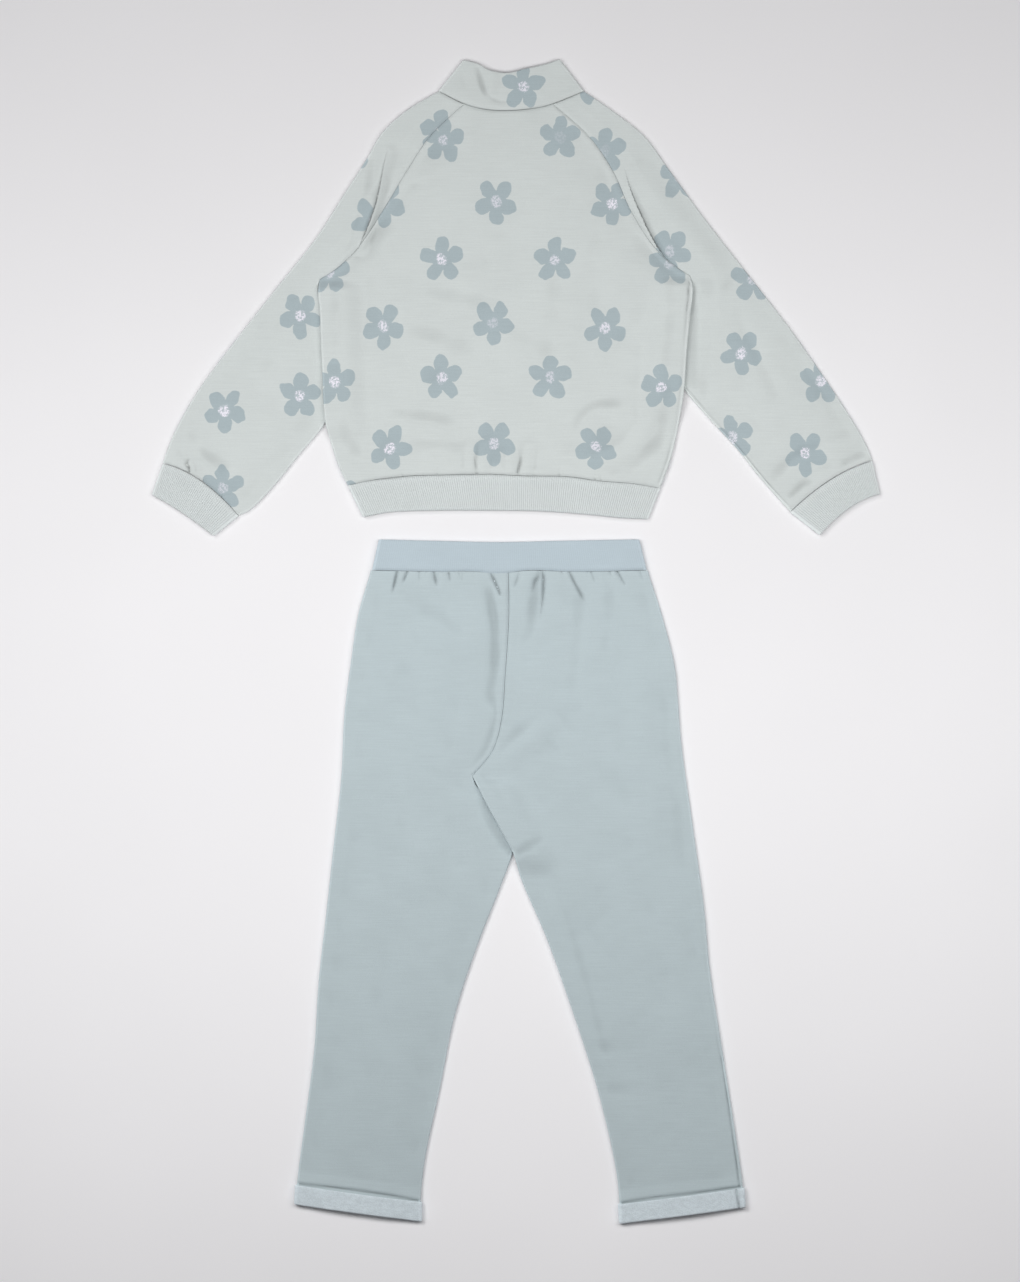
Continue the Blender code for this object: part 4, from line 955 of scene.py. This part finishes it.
def sections(table, edge_a, edge_b, step, sewn_end):
    """Fine rows through a table of stations: y on edge a, y on edge b, then other values."""

    def ends(stations):
        ys = stations[:, 0], stations[:, 1]
        return [np.column_stack((edge(y), y)) for edge, y in zip((edge_a, edge_b), ys)]

    table = np.array(table, float)
    middle = sum(ends(table)) / 2
    run = np.concatenate(([0], np.cumsum(np.hypot(*np.diff(middle, axis=0).T))))
    places = spaced(run[-1], step, sewn_end)
    fine = np.column_stack([np.interp(places, run, column) for column in table.T])
    start = places[:, None]
    end = run[-1] - start if sewn_end else start + FAR
    near_start, near_end = (np.clip(1 - away / END_RUN, 0, 1) for away in (start, end))
    values = [column[:, None] for column in fine.T[2:]]
    return Rows(*ends(fine), END_GAP * (near_end - near_start), np.minimum(start, end), values)


def seam_bow(shares, line, a, b, share):
    """How far sections bend along a seam that runs across, by their share of its bend."""
    place = between(a[0], b[0], share)
    return shares * (line(place) - between(line(a[0]), line(b[0]), share))


def neck_drop(share):
    return FRONT_NECK_DROP * np.sin(np.pi * np.clip(share, 0, 1)) ** FRONT_NECK_ROUNDNESS


def inner_side(above, below, corner, left):
    """A seam above the armpit or crotch and a free edge below it, a little off its neighbour."""
    away = -SIDE_GAP / 2 if left else SIDE_GAP / 2

    def edge(y):
        near = np.clip((y - corner) / SIDE_RUN + 1, 0, 1)
        return np.where(y > corner, above(y), below(y)) + away * near

    return edge


def body_panel(front):
    top = NECK_RAGLANS[0][1]
    left_end, right_end = RAGLAN_LEFT[-1][0], RAGLAN_RIGHT[-1][0]
    drops = FRONT_NECK_SHARE if front else ()
    table = [
        (between(top, left_end, step), between(top, right_end, step), 1, neck, drop, 0)
        for step, neck, drop in zip_longest(RAGLAN_STEPS, NECK_SHARE, drops, fillvalue=0)
    ]
    table += [(left_y, right_y, 0, 0, 0, hem) for left_y, right_y, hem in BODY_BELOW]

    def edge_a(y):
        return np.where(y > left_end, raglan_left(y) + SIDE_GAP / 2, body_left(y))

    def edge_b(y):
        return np.where(y > right_end, raglan_right(y) - SIDE_GAP / 2, body_right(y))

    rows = sections(table, edge_a, edge_b, HIDDEN_STEP if front else SEEN_STEP, True)
    opened, neck, drop, hem = rows.values

    def bow(x, share):
        bend = seam_bow(neck, neck_seam, *NECK_RAGLANS, share)
        bend = bend + seam_bow(hem, hem_seam, *HEM_ENDS, share)
        return bend + rows.gaps - drop * neck_drop(share)

    return Tube(
        rows.a, rows.b, panel_columns(HEM_ENDS[1][0] - HEM_ENDS[0][0], front), FLEECE_FOLD, FLEECE,
        bow=bow, low=body_low, swell=BODY_SWELL, open_a=opened, open_b=opened, sewn=rows.sewn,
        relief=relief(SWEATSHIRT_CREASES, SEEDS["body"], (BODY_SIDE_SEAM,)),
        hidden=hidden_relief(FRONT_SWEATSHIRT_CREASES),
    )


def sleeve(left):
    outer = Curve(SLEEVE_LEFT_OUTER if left else SLEEVE_RIGHT_OUTER)
    tuck = Curve(SLEEVE_LEFT_TUCK if left else SLEEVE_RIGHT_TUCK)
    outer_y = Curve(SLEEVE_LEFT_PAIRS if left else SLEEVE_RIGHT_PAIRS)
    cuff = CUFF_LEFT if left else CUFF_RIGHT
    armpit = (RAGLAN_LEFT if left else RAGLAN_RIGHT)[-1][0]
    stations = [(between(NECK_RAGLANS[0][1], armpit, step), 1) for step in RAGLAN_STEPS]
    stations += [(y, 0) for y in (SLEEVE_LEFT_BELOW if left else SLEEVE_RIGHT_BELOW)]
    cuff_shares = (*[0] * (len(stations) - len(CUFF_SHARE)), *CUFF_SHARE[::-1])
    table = []
    for number, ((y, opened), cuff_share) in enumerate(zip(stations, cuff_shares)):
        ends = (float(outer_y(y)), y) if left else (y, float(outer_y(y)))
        table.append((*ends, opened, cuff_share, number == 0))
    inner = inner_side(raglan_left if left else raglan_right, tuck, armpit, left)
    rows = sections(table, *((outer, inner) if left else (inner, outer)), SEEN_STEP, True)
    opened, cuff_share, neck = rows.values

    def bow(x, share):
        return (
            seam_bow(neck, neck_seam, rows.a[0], rows.b[0], share)
            + cuff_share * cuff.seam_bow * 4 * share * (1 - share) + rows.gaps
        )

    steps = SEEN_STEP, HIDDEN_STEP
    shares, under_shares = (top_shares(SLEEVE_TOP, FLEECE_FOLD, step) for step in steps)
    return Tube(
        rows.a, rows.b, round_columns(left, shares, under_shares), FLEECE_FOLD, FLEECE,
        bow=bow, swell=SLEEVE_SWELL, sewn=rows.sewn, **{"open_b" if left else "open_a": opened},
        relief=relief(
            SWEATSHIRT_CREASES, SEEDS["sleeve_left" if left else "sleeve_right"],
            () if left else (SLEEVE_RIGHT_SEAM,),
        ),
        hidden=hidden_relief(FRONT_SWEATSHIRT_CREASES),
    )


def band(
    side_a, side_b, fold, cloth, around, seam_line, rim_line, drop=flat, step=SEEN_STEP, **options
):
    """A doubled band from its seam to its folded rim. Each side is two points, seam and rim."""
    length, radius = math.dist(*side_a), cloth / 2
    rim = length - radius * (1 - np.sin(np.radians(RIM_TURNS)))
    places = np.concatenate((spaced(length - radius, step), rim))[:, None]
    share_up = places / length
    a, b = (between(*np.array(side, float), share_up) for side in (side_a, side_b))
    inward = np.clip(radius - (length - places), 0, radius)

    def bow(x, share):
        low = seam_line(between(side_a[0][0], side_b[0][0], share))
        high = rim_line(between(side_a[1][0], side_b[1][0], share))
        return between(low, high, share_up) - between(a[:, 1:], b[:, 1:], share)

    return Tube(
        a, b, around, fold, cloth, bow=bow, sewn=places,
        under_bow=lambda x, share: bow(x, share) - drop(share),
        outer_depth=(radius - np.sqrt(radius**2 - inward**2)) * RIM_SHARE, **options,
    )


def collar_band():
    (left_x, _), (right_x, _) = NECK_RAGLANS

    def drop(share):
        place = between(NECK_ENDS[0][0], NECK_ENDS[1][0], share)
        return neck_drop((place - left_x) / (right_x - left_x))

    shares = top_shares(NECK_ENDS[1][0] - NECK_ENDS[0][0], COLLAR_FOLD, COLLAR_STEP)
    return band(
        *zip(NECK_ENDS, COLLAR_ENDS), COLLAR_FOLD, COLLAR_CLOTH,
        round_columns(False, shares, shares[::2]), neck_seam, Curve(COLLAR_TOP), drop, COLLAR_STEP,
        relief=relief(COLLAR_CREASES, SEEDS["collar"]), swell=COLLAR_SWELL,
    )


def bowed(start, end, height):
    """A line from start to end that bends by height in its middle."""

    def line(x):
        share = (x - start[0]) / (end[0] - start[0])
        return between(start[1], end[1], share) + height * 4 * share * (1 - share)

    return line


def cuff_band(cuff, left, seed):
    sides = ((cuff.seam_outer, cuff.edge_outer), (cuff.seam_inner, cuff.edge_inner))
    side_a, side_b = sides if left else sides[::-1]
    bows = (cuff.seam_bow, cuff.edge_bow)
    return band(
        side_a, side_b, RIB_FOLD, RIB_CLOTH,
        rib_columns(left, math.dist(cuff.seam_outer, cuff.seam_inner)),
        *(bowed(*ends, bow) for *ends, bow in zip(side_a, side_b, bows)), relief=relief((), seed),
    )


def across_band(seam, edge, fold, cloth, seed, **ribs):
    """A ribbed band that runs across: the hem's or the waist's."""
    return band(
        *((seam[k], edge[k]) for k in (0, -1)), fold, cloth,
        rib_columns(True, seam[-1][0] - seam[0][0], **ribs), Curve(seam), Curve(edge),
        relief=relief((), seed), swell=BAND_SWELL,
    )


def leg_panel(left, front):
    outer = Curve(LEG_LEFT_OUTER if left else LEG_RIGHT_OUTER)
    inner = Curve(LEG_LEFT_INNER if left else LEG_RIGHT_INNER)
    top_line = turnup_left_top if left else turnup_right_top
    table = [(outer_y, inner_y, 1, number == 0) for number, (outer_y, inner_y) in enumerate(LEG_ABOVE)]
    table += [(outer_y, inner_y, 0, 0) for outer_y, inner_y in LEG_BELOW]
    outer_x, inner_x = float(outer(TURNUP_OUTER_Y)), float(inner(TURNUP_INNER_Y))
    for above in (TURNUP_RAMP, TURNUP_REACH, LEG_END - TURNUP_HEIGHT):
        table.append((float(top_line(outer_x)) + above, float(top_line(inner_x)) + above, 0, 0))
    if not left:
        table = [(inner_y, outer_y, *rest) for outer_y, inner_y, *rest in table]
    inner_edge = inner_side(Curve(CENTRE_SEAM), inner, CENTRE_SEAM[-1][0], left)
    edges = (outer, inner_edge) if left else (inner_edge, outer)
    rows = sections(table, *edges, HIDDEN_STEP if front else SEEN_STEP, False)
    opened, waist = rows.values

    def bow(x, share):
        straight = between(rows.a[:, 1:], rows.b[:, 1:], share)
        return waist * (waist_seam(x) - straight) + rows.gaps

    return Tube(
        rows.a, rows.b, panel_columns(LEG_TOP, front), FLEECE_FOLD, FLEECE,
        bow=bow, low=leg_left_low if left else leg_right_low, swell=LEG_SWELL, sewn=rows.sewn,
        **{"open_b" if left else "open_a": opened},
        relief=relief(
            TROUSERS_CREASES, SEEDS["leg_left" if left else "leg_right"],
            () if left else (LEG_SIDE_SEAM,),
        ),
        hidden=hidden_relief(FRONT_TROUSERS_CREASES),
    )


def turnup(left):
    outer_edge = Curve(LEG_LEFT_OUTER if left else LEG_RIGHT_OUTER)
    inner_edge = Curve(LEG_LEFT_INNER if left else LEG_RIGHT_INNER)
    top_line = turnup_left_top if left else turnup_right_top
    # Rows of: how far down, the depths of the outer and inner surface, how far the inner is back
    turn = FLEECE + SEAM_GAP / 2
    rows = [(down, depth, FLEECE - depth, 0.0) for down, depth in TURNUP_TOP_ROLL]
    level_end = TURNUP_HEIGHT - turn - TURNUP_LEVEL_END
    level = np.linspace(TURNUP_LEVEL_START, level_end, TURNUP_LEVELS)
    rows += [(down, 0.0, FLEECE, 0.0) for down in level]
    for angle in np.linspace(0, 180, TURNUP_TURNS):
        down, inward = math.sin(math.radians(angle)), math.cos(math.radians(angle))
        depths = turn - turn * inward, turn - (turn - FLEECE) * inward
        rows.append((TURNUP_HEIGHT - turn + turn * down, *depths, FLEECE * down))
    down, outer_depth, inner_depth, inner_back = (column[:, None] for column in np.array(rows).T)
    sides = []
    for edge, start, side in ((outer_edge, TURNUP_OUTER_Y, -1), (inner_edge, TURNUP_INNER_Y, 1)):
        y = top_line(edge(start)) - down
        sides.append(np.hstack((edge(y) + side * (1 if left else -1) * TURNUP_LAYER, y)))
    shares = top_shares(TURNUP_TOP, FLEECE_FOLD, SEEN_STEP)
    return Tube(
        *(sides if left else sides[::-1]), round_columns(not left, shares, shares[::2]),
        FLEECE_FOLD + TURNUP_LAYER, FLEECE, swell=LEG_SWELL, edge_layer=TURNUP_LAYER,
        outer_depth=outer_depth, inner_depth=inner_depth, inner_back=inner_back,
        relief=relief(
            () if left else TURNUP_SEAM, SEEDS["turnup_left" if left else "turnup_right"],
        ),
    )


def on_lap(places):
    """Which places on the left sleeve's upper side lie on its lapped strip."""
    (x0, y0), (x1, y1) = (from_photo(*end) for end in LAP_LINE)
    share = (places[:, 1] - y0) / (y1 - y0)
    return (share > 0) & (share < 1) & (places[:, 0] > between(x0, x1, share))


def hidden_flowers(seed):
    """Flowers for hidden sides, in a half-drop repeat: (x, y, turn, shine) in millimetres."""
    random = np.random.default_rng(seed)
    step_x, step_y = (PHOTO_SCALE * step for step in FRONT_FLOWER_STEP)
    flowers = []
    for row in FRONT_FLOWER_ROWS:
        for column in FRONT_FLOWER_COLUMNS:
            x, y, turn, shine = (random.uniform(*limits) for limits in FRONT_FLOWER_STRAY)
            x += (column + 0.5 * (row % 2)) * step_x
            y += FRONT_FLOWER_START + row * step_y
            flowers.append((x, y, turn + 180 * (row % 2), shine))
    return np.array(flowers)


def print_flowers(piece, flowers, seed):
    """Gives each printed face its place from the middle of one flower, as a UV map."""
    data = piece.data
    centres = read(data.polygons, "center", 3)[:, :2] / MM - (SHIFT_X, SHIFT_Y)
    up = read(data.polygons, "normal", 3)[:, 2] > UPPER_SIDE
    seen = np.array([(*from_photo(px, py), *rest) for px, py, *rest in flowers])
    nearest = np.full((len(centres), 4), NO_FLOWER)
    for above, table in ((True, seen), (False, hidden_flowers(seed))):
        faces = np.flatnonzero(up == above)
        away = np.hypot(*(centres[faces][:, None] - table[None, :, :2]).transpose(2, 0, 1))
        close = away.min(axis=1) < FLOWER_REACH
        if above and flowers is SLEEVE_LEFT_FLOWERS:
            close &= ~on_lap(centres[faces])
        nearest[faces[close]] = table[away.argmin(axis=1)[close]]
    flower_x, flower_y, turn, shine = np.repeat(nearest, read(data.polygons, "loop_total"), 0).T
    places = read(data.vertices, "co", 3)[:, :2] / MM - (SHIFT_X, SHIFT_Y)
    x, y = places[read(data.loops, "vertex_index")].T
    off_x, off_y, turn = x - flower_x, y - flower_y, np.radians(turn)
    u = off_x * np.cos(turn) - off_y * np.sin(turn)
    v = (off_x * np.sin(turn) + off_y * np.cos(turn)) / FLOWER_STRETCH
    bare = shine == NO_FLOWER
    number = np.round(flower_x * FLOWER_NUMBER[0] + flower_y * FLOWER_NUMBER[1], 1)
    add_map(data, "petals", np.where(bare, NO_FLOWER, u), np.where(bare, NO_FLOWER, v))
    add_map(data, "flower", np.where(bare, 0, number), np.where(bare, 0, shine))


def linear(seen):
    return (*(((part / 255 + 0.055) / 1.055) ** 2.4 for part in seen), 1)


class Graph:
    """A material's nodes, with short ways to add and join them."""

    def __init__(self, name, roughness, sheen):
        self.material = bpy.data.materials.new(name)
        self.material.use_nodes = True
        self.nodes, self.links = self.material.node_tree.nodes, self.material.node_tree.links
        self.shader = self.nodes["Principled BSDF"]
        self.fill(self.shader, {
            "Roughness": roughness, "Specular IOR Level": SPECULAR,
            "Sheen Weight": sheen, "Sheen Roughness": SHEEN_ROUGHNESS,
        })
        self.place = self.add("ShaderNodeTexCoord").outputs["Object"]
        self.x, self.y = self.parts(self.place)[:2]

    def fill(self, node, inputs):
        """Gives inputs, by name or number, their values or another node's output."""
        for key, value in inputs.items():
            if isinstance(value, bpy.types.NodeSocket):
                self.links.new(value, node.inputs[key])
            else:
                node.inputs[key].default_value = value

    def add(self, kind, inputs=None, **settings):
        node = self.nodes.new(kind)
        for key, value in settings.items():
            setattr(node, key, value)
        self.fill(node, inputs or {})
        return node

    def math(self, operation, *values):
        node = self.add("ShaderNodeMath", dict(enumerate(values)), operation=operation)
        return node.outputs[0]

    def product(self, *values):
        return reduce(lambda first, second: self.math("MULTIPLY", first, second), values)

    def total(self, *values):
        return reduce(lambda first, second: self.math("ADD", first, second), values)

    def hypot(self, first, second):
        squares = self.total(self.product(first, first), self.product(second, second))
        return self.math("SQRT", squares)

    def vector(self, operation, first, second):
        node = self.add("ShaderNodeVectorMath", {0: first, 1: second}, operation=operation)
        return node.outputs[0]

    def parts(self, vector):
        return self.add("ShaderNodeSeparateXYZ", {0: vector}).outputs

    def map(self, name):
        return self.add("ShaderNodeUVMap", uv_map=name).outputs[0]

    def shaded(self, colour, shade):
        """Three values, each times the same shade."""
        grey = self.add("ShaderNodeCombineXYZ", {k: shade for k in range(3)})
        return self.vector("MULTIPLY", colour, grey.outputs[0])

    def noise(self, scale, detail=2.0, roughness=0.5, place=None, seed=None, output="Fac"):
        """Noise of so many waves a metre along x, y and z, or along a UV map's own units."""
        place = self.vector("MULTIPLY", place or self.place, scale)
        if seed:
            place = self.vector("ADD", place, seed)
        inputs = {"Vector": place, "Scale": 1.0, "Detail": detail, "Roughness": roughness}
        return self.add("ShaderNodeTexNoise", inputs).outputs[output]

    def ramp(self, value, low, high, start=0.0, end=1.0):
        """A soft step from start to end, where the value runs from low to high."""
        inputs = {"Value": value, "From Min": low, "From Max": high, "To Min": start, "To Max": end}
        node = self.add("ShaderNodeMapRange", inputs, interpolation_type="SMOOTHSTEP")
        return node.outputs["Result"]

    def mottled(self, value, change):
        """Noise as a shade about 1 that is up to change darker or paler."""
        return self.ramp(value, 0.3, 0.7, 1 - change, 1 + change)

    def mix(self, share, first, second):
        node = self.add("ShaderNodeMix", data_type="RGBA")
        self.fill(node, {0: share, 6: first, 7: second})
        return node.outputs[2]

    def bump(self, height, distance):
        inputs = {"Strength": 1.0, "Distance": distance, "Height": height}
        return self.add("ShaderNodeBump", inputs).outputs["Normal"]

    def formed(self, shade):
        """A shade with painted shade darkening the cloth's hollows and painted light paling its rolled
        edges.
        """
        hollow, edge = self.parts(self.map("hollow"))[:2]
        darker = self.math("SUBTRACT", 1.0, self.product(hollow, HOLLOW_PAINTED_SHADE))
        return self.product(shade, darker, self.total(1.0, self.product(edge, EDGE_PAINTED_LIGHT)))

    def finish(self, colour, normal):
        self.fill(self.shader, {"Base Color": colour, "Normal": normal})
        return self.material


def knit(graph, colour, depth, streak=0.025, mottle=0.012):
    """Jersey: fine courses across with long streaks, wales down, and a soft nap."""
    streaks = graph.noise((28, 900, 0))
    cloudy = graph.noise((22, 22, 0))
    grain = graph.noise((1500, 1500, 1500), 3.0, 0.65)
    wales = graph.math("SINE", graph.product(graph.x, 2 * math.pi / WALE))
    shade = graph.product(
        graph.ramp(streaks, 0.25, 0.75, 1 - streak, 1 + streak), graph.mottled(cloudy, mottle),
        graph.mottled(grain, 0.035),
    )
    height = graph.total(graph.product(wales, 0.12), grain, graph.product(streaks, 0.5))
    # The colour carries painted shade in hollows and painted light on rolled edges, through formed
    return graph.shaded(colour, graph.formed(shade)), graph.bump(height, depth)


def fleece_material(name, seen):
    graph = Graph(name, FLEECE_ROUGHNESS, FLEECE_SHEEN)
    return graph.finish(*knit(graph, linear(seen)[:3], FLEECE_BUMP))


def rib_material(name, seen, valley):
    """Rib knit: the valleys between its ribs are painted a little darker, as painted shade."""
    graph = Graph(name, RIB_ROUGHNESS, FLEECE_SHEEN)
    shade = graph.ramp(graph.parts(graph.map("rib"))[0], 0.1, 0.8, valley, 1.0)
    return graph.finish(*knit(graph, graph.shaded(linear(seen)[:3], shade), RIB_BUMP, 0.015, 0.01))


def fuzzy_material(name, seen):
    """The brushed wrong side: small loops and short fibres."""
    graph = Graph(name, FUZZY_ROUGHNESS, FUZZY_SHEEN)
    place = graph.vector("MULTIPLY", graph.place, (650, 1000, 650))
    loops = graph.add("ShaderNodeTexVoronoi", {"Vector": place, "Scale": 1.0}).outputs["Distance"]
    fibres = graph.noise((1100, 2300, 1100), 4.0, 0.7)
    tufts = graph.mottled(graph.noise((160, 260, 160)), 0.05)
    shade = graph.product(graph.ramp(loops, 0, 0.8, 1.05, 0.93), tufts)
    # The colour carries painted shade in hollows and painted light on rolled edges, through formed
    colour = graph.shaded(linear(seen)[:3], graph.formed(shade))
    return graph.finish(colour, graph.bump(graph.math("SUBTRACT", fibres, loops), FUZZY_BUMP))


def printed_material():
    """Fleece with five-petal flowers, each with a speckled silvery middle."""
    graph = Graph("printed_fleece", FLEECE_ROUGHNESS, FLEECE_SHEEN)
    uv = graph.map("petals")
    number, shine = graph.parts(graph.map("flower"))[:2]
    own = {"place": uv, "seed": graph.shaded((1.0, 1.7, 0), number)}

    # Petals round a place that wanders, so that no two are alike
    bent = uv
    for pitch, reach, detail in PETAL_WANDER:
        waves = graph.noise((pitch, pitch, 0), detail, **own, output="Color")
        away = graph.vector("SUBTRACT", waves, (0.5, 0.5, 0.5))
        bent = graph.vector("ADD", bent, graph.vector("MULTIPLY", away, (reach, reach, 0)))
    u, v = graph.parts(bent)[:2]
    radius = graph.hypot(u, v)
    sector = graph.product(graph.math("ARCTAN2", u, v), PETALS / (2 * math.pi))
    offset = graph.math("SUBTRACT", sector, graph.math("ROUND", sector))
    angle = graph.product(offset, 2 * math.pi / PETALS)
    along = graph.product(radius, graph.math("COSINE", angle))
    along = graph.math("DIVIDE", graph.math("SUBTRACT", along, PETAL_CENTRE), PETAL_HALF_LENGTH)
    aside = graph.product(radius, graph.math("SINE", angle))
    petal = graph.hypot(along, graph.math("DIVIDE", aside, PETAL_HALF_WIDTH))
    core = graph.ramp(radius, FLOWER_CORE - 0.4, FLOWER_CORE + 0.4, 1.0, 0.0)
    flower = graph.math("MAXIMUM", graph.ramp(petal, 0.95, 1.05, 1.0, 0.0), core)

    # The middle's ragged edge and its glitter
    specks = graph.math("SUBTRACT", graph.noise((0.75, 0.75, 0), 3.0, 0.7, **own), 0.5)
    edge = graph.total(radius, graph.product(specks, SPECK_REACH))
    glitter = graph.ramp(graph.noise((0.42, 0.36, 0), 2.0, 0.7, **own), 0.45, 0.53, 0.2, 1.0)
    middle = graph.ramp(edge, FLOWER_MIDDLE - 1.2, FLOWER_MIDDLE + 0.6, 1.0, 0.0)
    worn = graph.ramp(graph.noise((1400, 1400, 1400)), 0.3, 0.7, 0.86, 1.0)
    colour = graph.mix(graph.product(flower, worn), linear(SAGE), linear(PETAL_GREY))
    colour = graph.mix(graph.product(middle, glitter, shine), colour, linear(SILVER))
    return graph.finish(*knit(graph, colour, FLEECE_BUMP))


def floor_material():
    """Pale paper, with painted light: paler towards the trousers and darker towards the collar."""
    graph = Graph("paper_floor", FLOOR_ROUGHNESS, 0.0)
    # Painted light: the paper is painted paler towards the trousers and darker towards the collar
    painted_light_falloff = graph.ramp(graph.y, -0.7, 0.7, 1.08, 0.9)
    shade = graph.product(painted_light_falloff, graph.mottled(graph.noise((3, 3, 0)), 0.01))
    grain = graph.noise((900, 900, 900), 3.0)
    return graph.finish(graph.shaded(linear(FLOOR)[:3], shade), graph.bump(grain, FLOOR_BUMP))


def add_floor():
    data = bpy.data.meshes.new("floor")
    corners = [(x * FLOOR_HALF, y * FLOOR_HALF, 0) for x, y in ((-1, -1), (1, -1), (1, 1), (-1, 1))]
    data.from_pydata(corners, [], [(0, 1, 2, 3)])
    data.materials.append(floor_material())
    floor = linked("floor", data)
    floor.location.z = -FLOOR_BELOW


def add_camera():
    camera = bpy.data.cameras.new("camera")
    camera.sensor_fit = "VERTICAL"
    camera.sensor_height = SENSOR
    camera.lens = LENS
    item = linked("camera", camera)
    x, y = from_photo(PHOTO_SIZE[0] / 2, PHOTO_SIZE[1] / 2)
    item.location = ((x + SHIFT_X) * MM, (y + SHIFT_Y) * MM, CAMERA_HEIGHT)
    bpy.context.scene.camera = item


def add_lights():
    for name, place, target, size, energy in LIGHTS:
        light = bpy.data.lights.new(name, "AREA")
        light.shape = "RECTANGLE"
        light.size, light.size_y = size
        light.energy = energy
        light.color = LIGHT_COLOUR
        item = linked(name, light)
        item.location = place
        x, y, z = (target[k] - place[k] for k in range(3))
        item.rotation_euler = (math.atan2(math.hypot(x, y), -z), 0, math.atan2(-x, y))
    world = bpy.data.worlds.new("studio")
    world.use_nodes = True
    background = world.node_tree.nodes["Background"]
    background.inputs["Color"].default_value = WORLD_COLOUR
    background.inputs["Strength"].default_value = WORLD_STRENGTH
    bpy.context.scene.world = world
    bpy.context.scene.view_settings.view_transform = "Standard"


def add_clothes():
    printed = printed_material(), fuzzy_material("sage_inside", SAGE_INSIDE)
    rib = (rib_material("rib_knit", RIB_SAGE, RIB_VALLEY),) * 2
    fleece = fleece_material("plain_fleece", BLUE_GREY)
    wrong_side = fuzzy_material("fleece_wrong_side", WRONG_SIDE)
    waist = (rib_material("waistband_knit", WAIST_BLUE, WAIST_VALLEY),) * 2
    plain, folded_out = (fleece, wrong_side), (wrong_side, fleece)
    hem_tube = across_band(HEM_SEAM, HEM_EDGE, RIB_FOLD, RIB_CLOTH, SEEDS["hem_band"])
    waist_tube = across_band(
        WAIST_SEAM, WAIST_EDGE, WAIST_FOLD, WAIST_CLOTH, SEEDS["waistband"],
        height=WAIST_RIB_HEIGHT, steps=WAIST_RIB_STEPS,
    )
    cuff_left = cuff_band(CUFF_LEFT, True, SEEDS["cuff_left"])
    cuff_right = cuff_band(CUFF_RIGHT, False, SEEDS["cuff_right"])
    made = (
        ("body_back", body_panel(False), printed, "printed_fleece", BODY_FLOWERS),
        ("body_front", body_panel(True), printed, "printed_fleece", BODY_FLOWERS),
        ("sleeve_left", sleeve(True), printed, "printed_fleece", SLEEVE_LEFT_FLOWERS),
        ("sleeve_right", sleeve(False), printed, "printed_fleece", SLEEVE_RIGHT_FLOWERS),
        ("collar", collar_band(), (printed[0],) * 2, "printed_fleece", COLLAR_FLOWERS),
        ("cuff_left", cuff_left, rib, "rib_knit", None),
        ("cuff_right", cuff_right, rib, "rib_knit", None),
        ("hem_band", hem_tube, rib, "rib_knit", None),
        ("waistband", waist_tube, waist, "plain_fleece", None),
        ("leg_back_left", leg_panel(True, False), plain, "plain_fleece", None),
        ("leg_back_right", leg_panel(False, False), plain, "plain_fleece", None),
        ("leg_front_left", leg_panel(True, True), plain, "plain_fleece", None),
        ("leg_front_right", leg_panel(False, True), plain, "plain_fleece", None),
        ("turnup_left", turnup(True), folded_out, "fleece_wrong_side", None),
        ("turnup_right", turnup(False), folded_out, "fleece_wrong_side", None),
    )
    for number, (node, tube, materials, slot, flowers) in enumerate(made):
        piece = wall(node, tube, materials)
        if flowers:
            print_flowers(piece, flowers, number)
        cut = CUTS[node]
        [f"cloth_{name}" for name in cut.rests_on]


add_floor()
add_clothes()
add_lights()
add_camera()
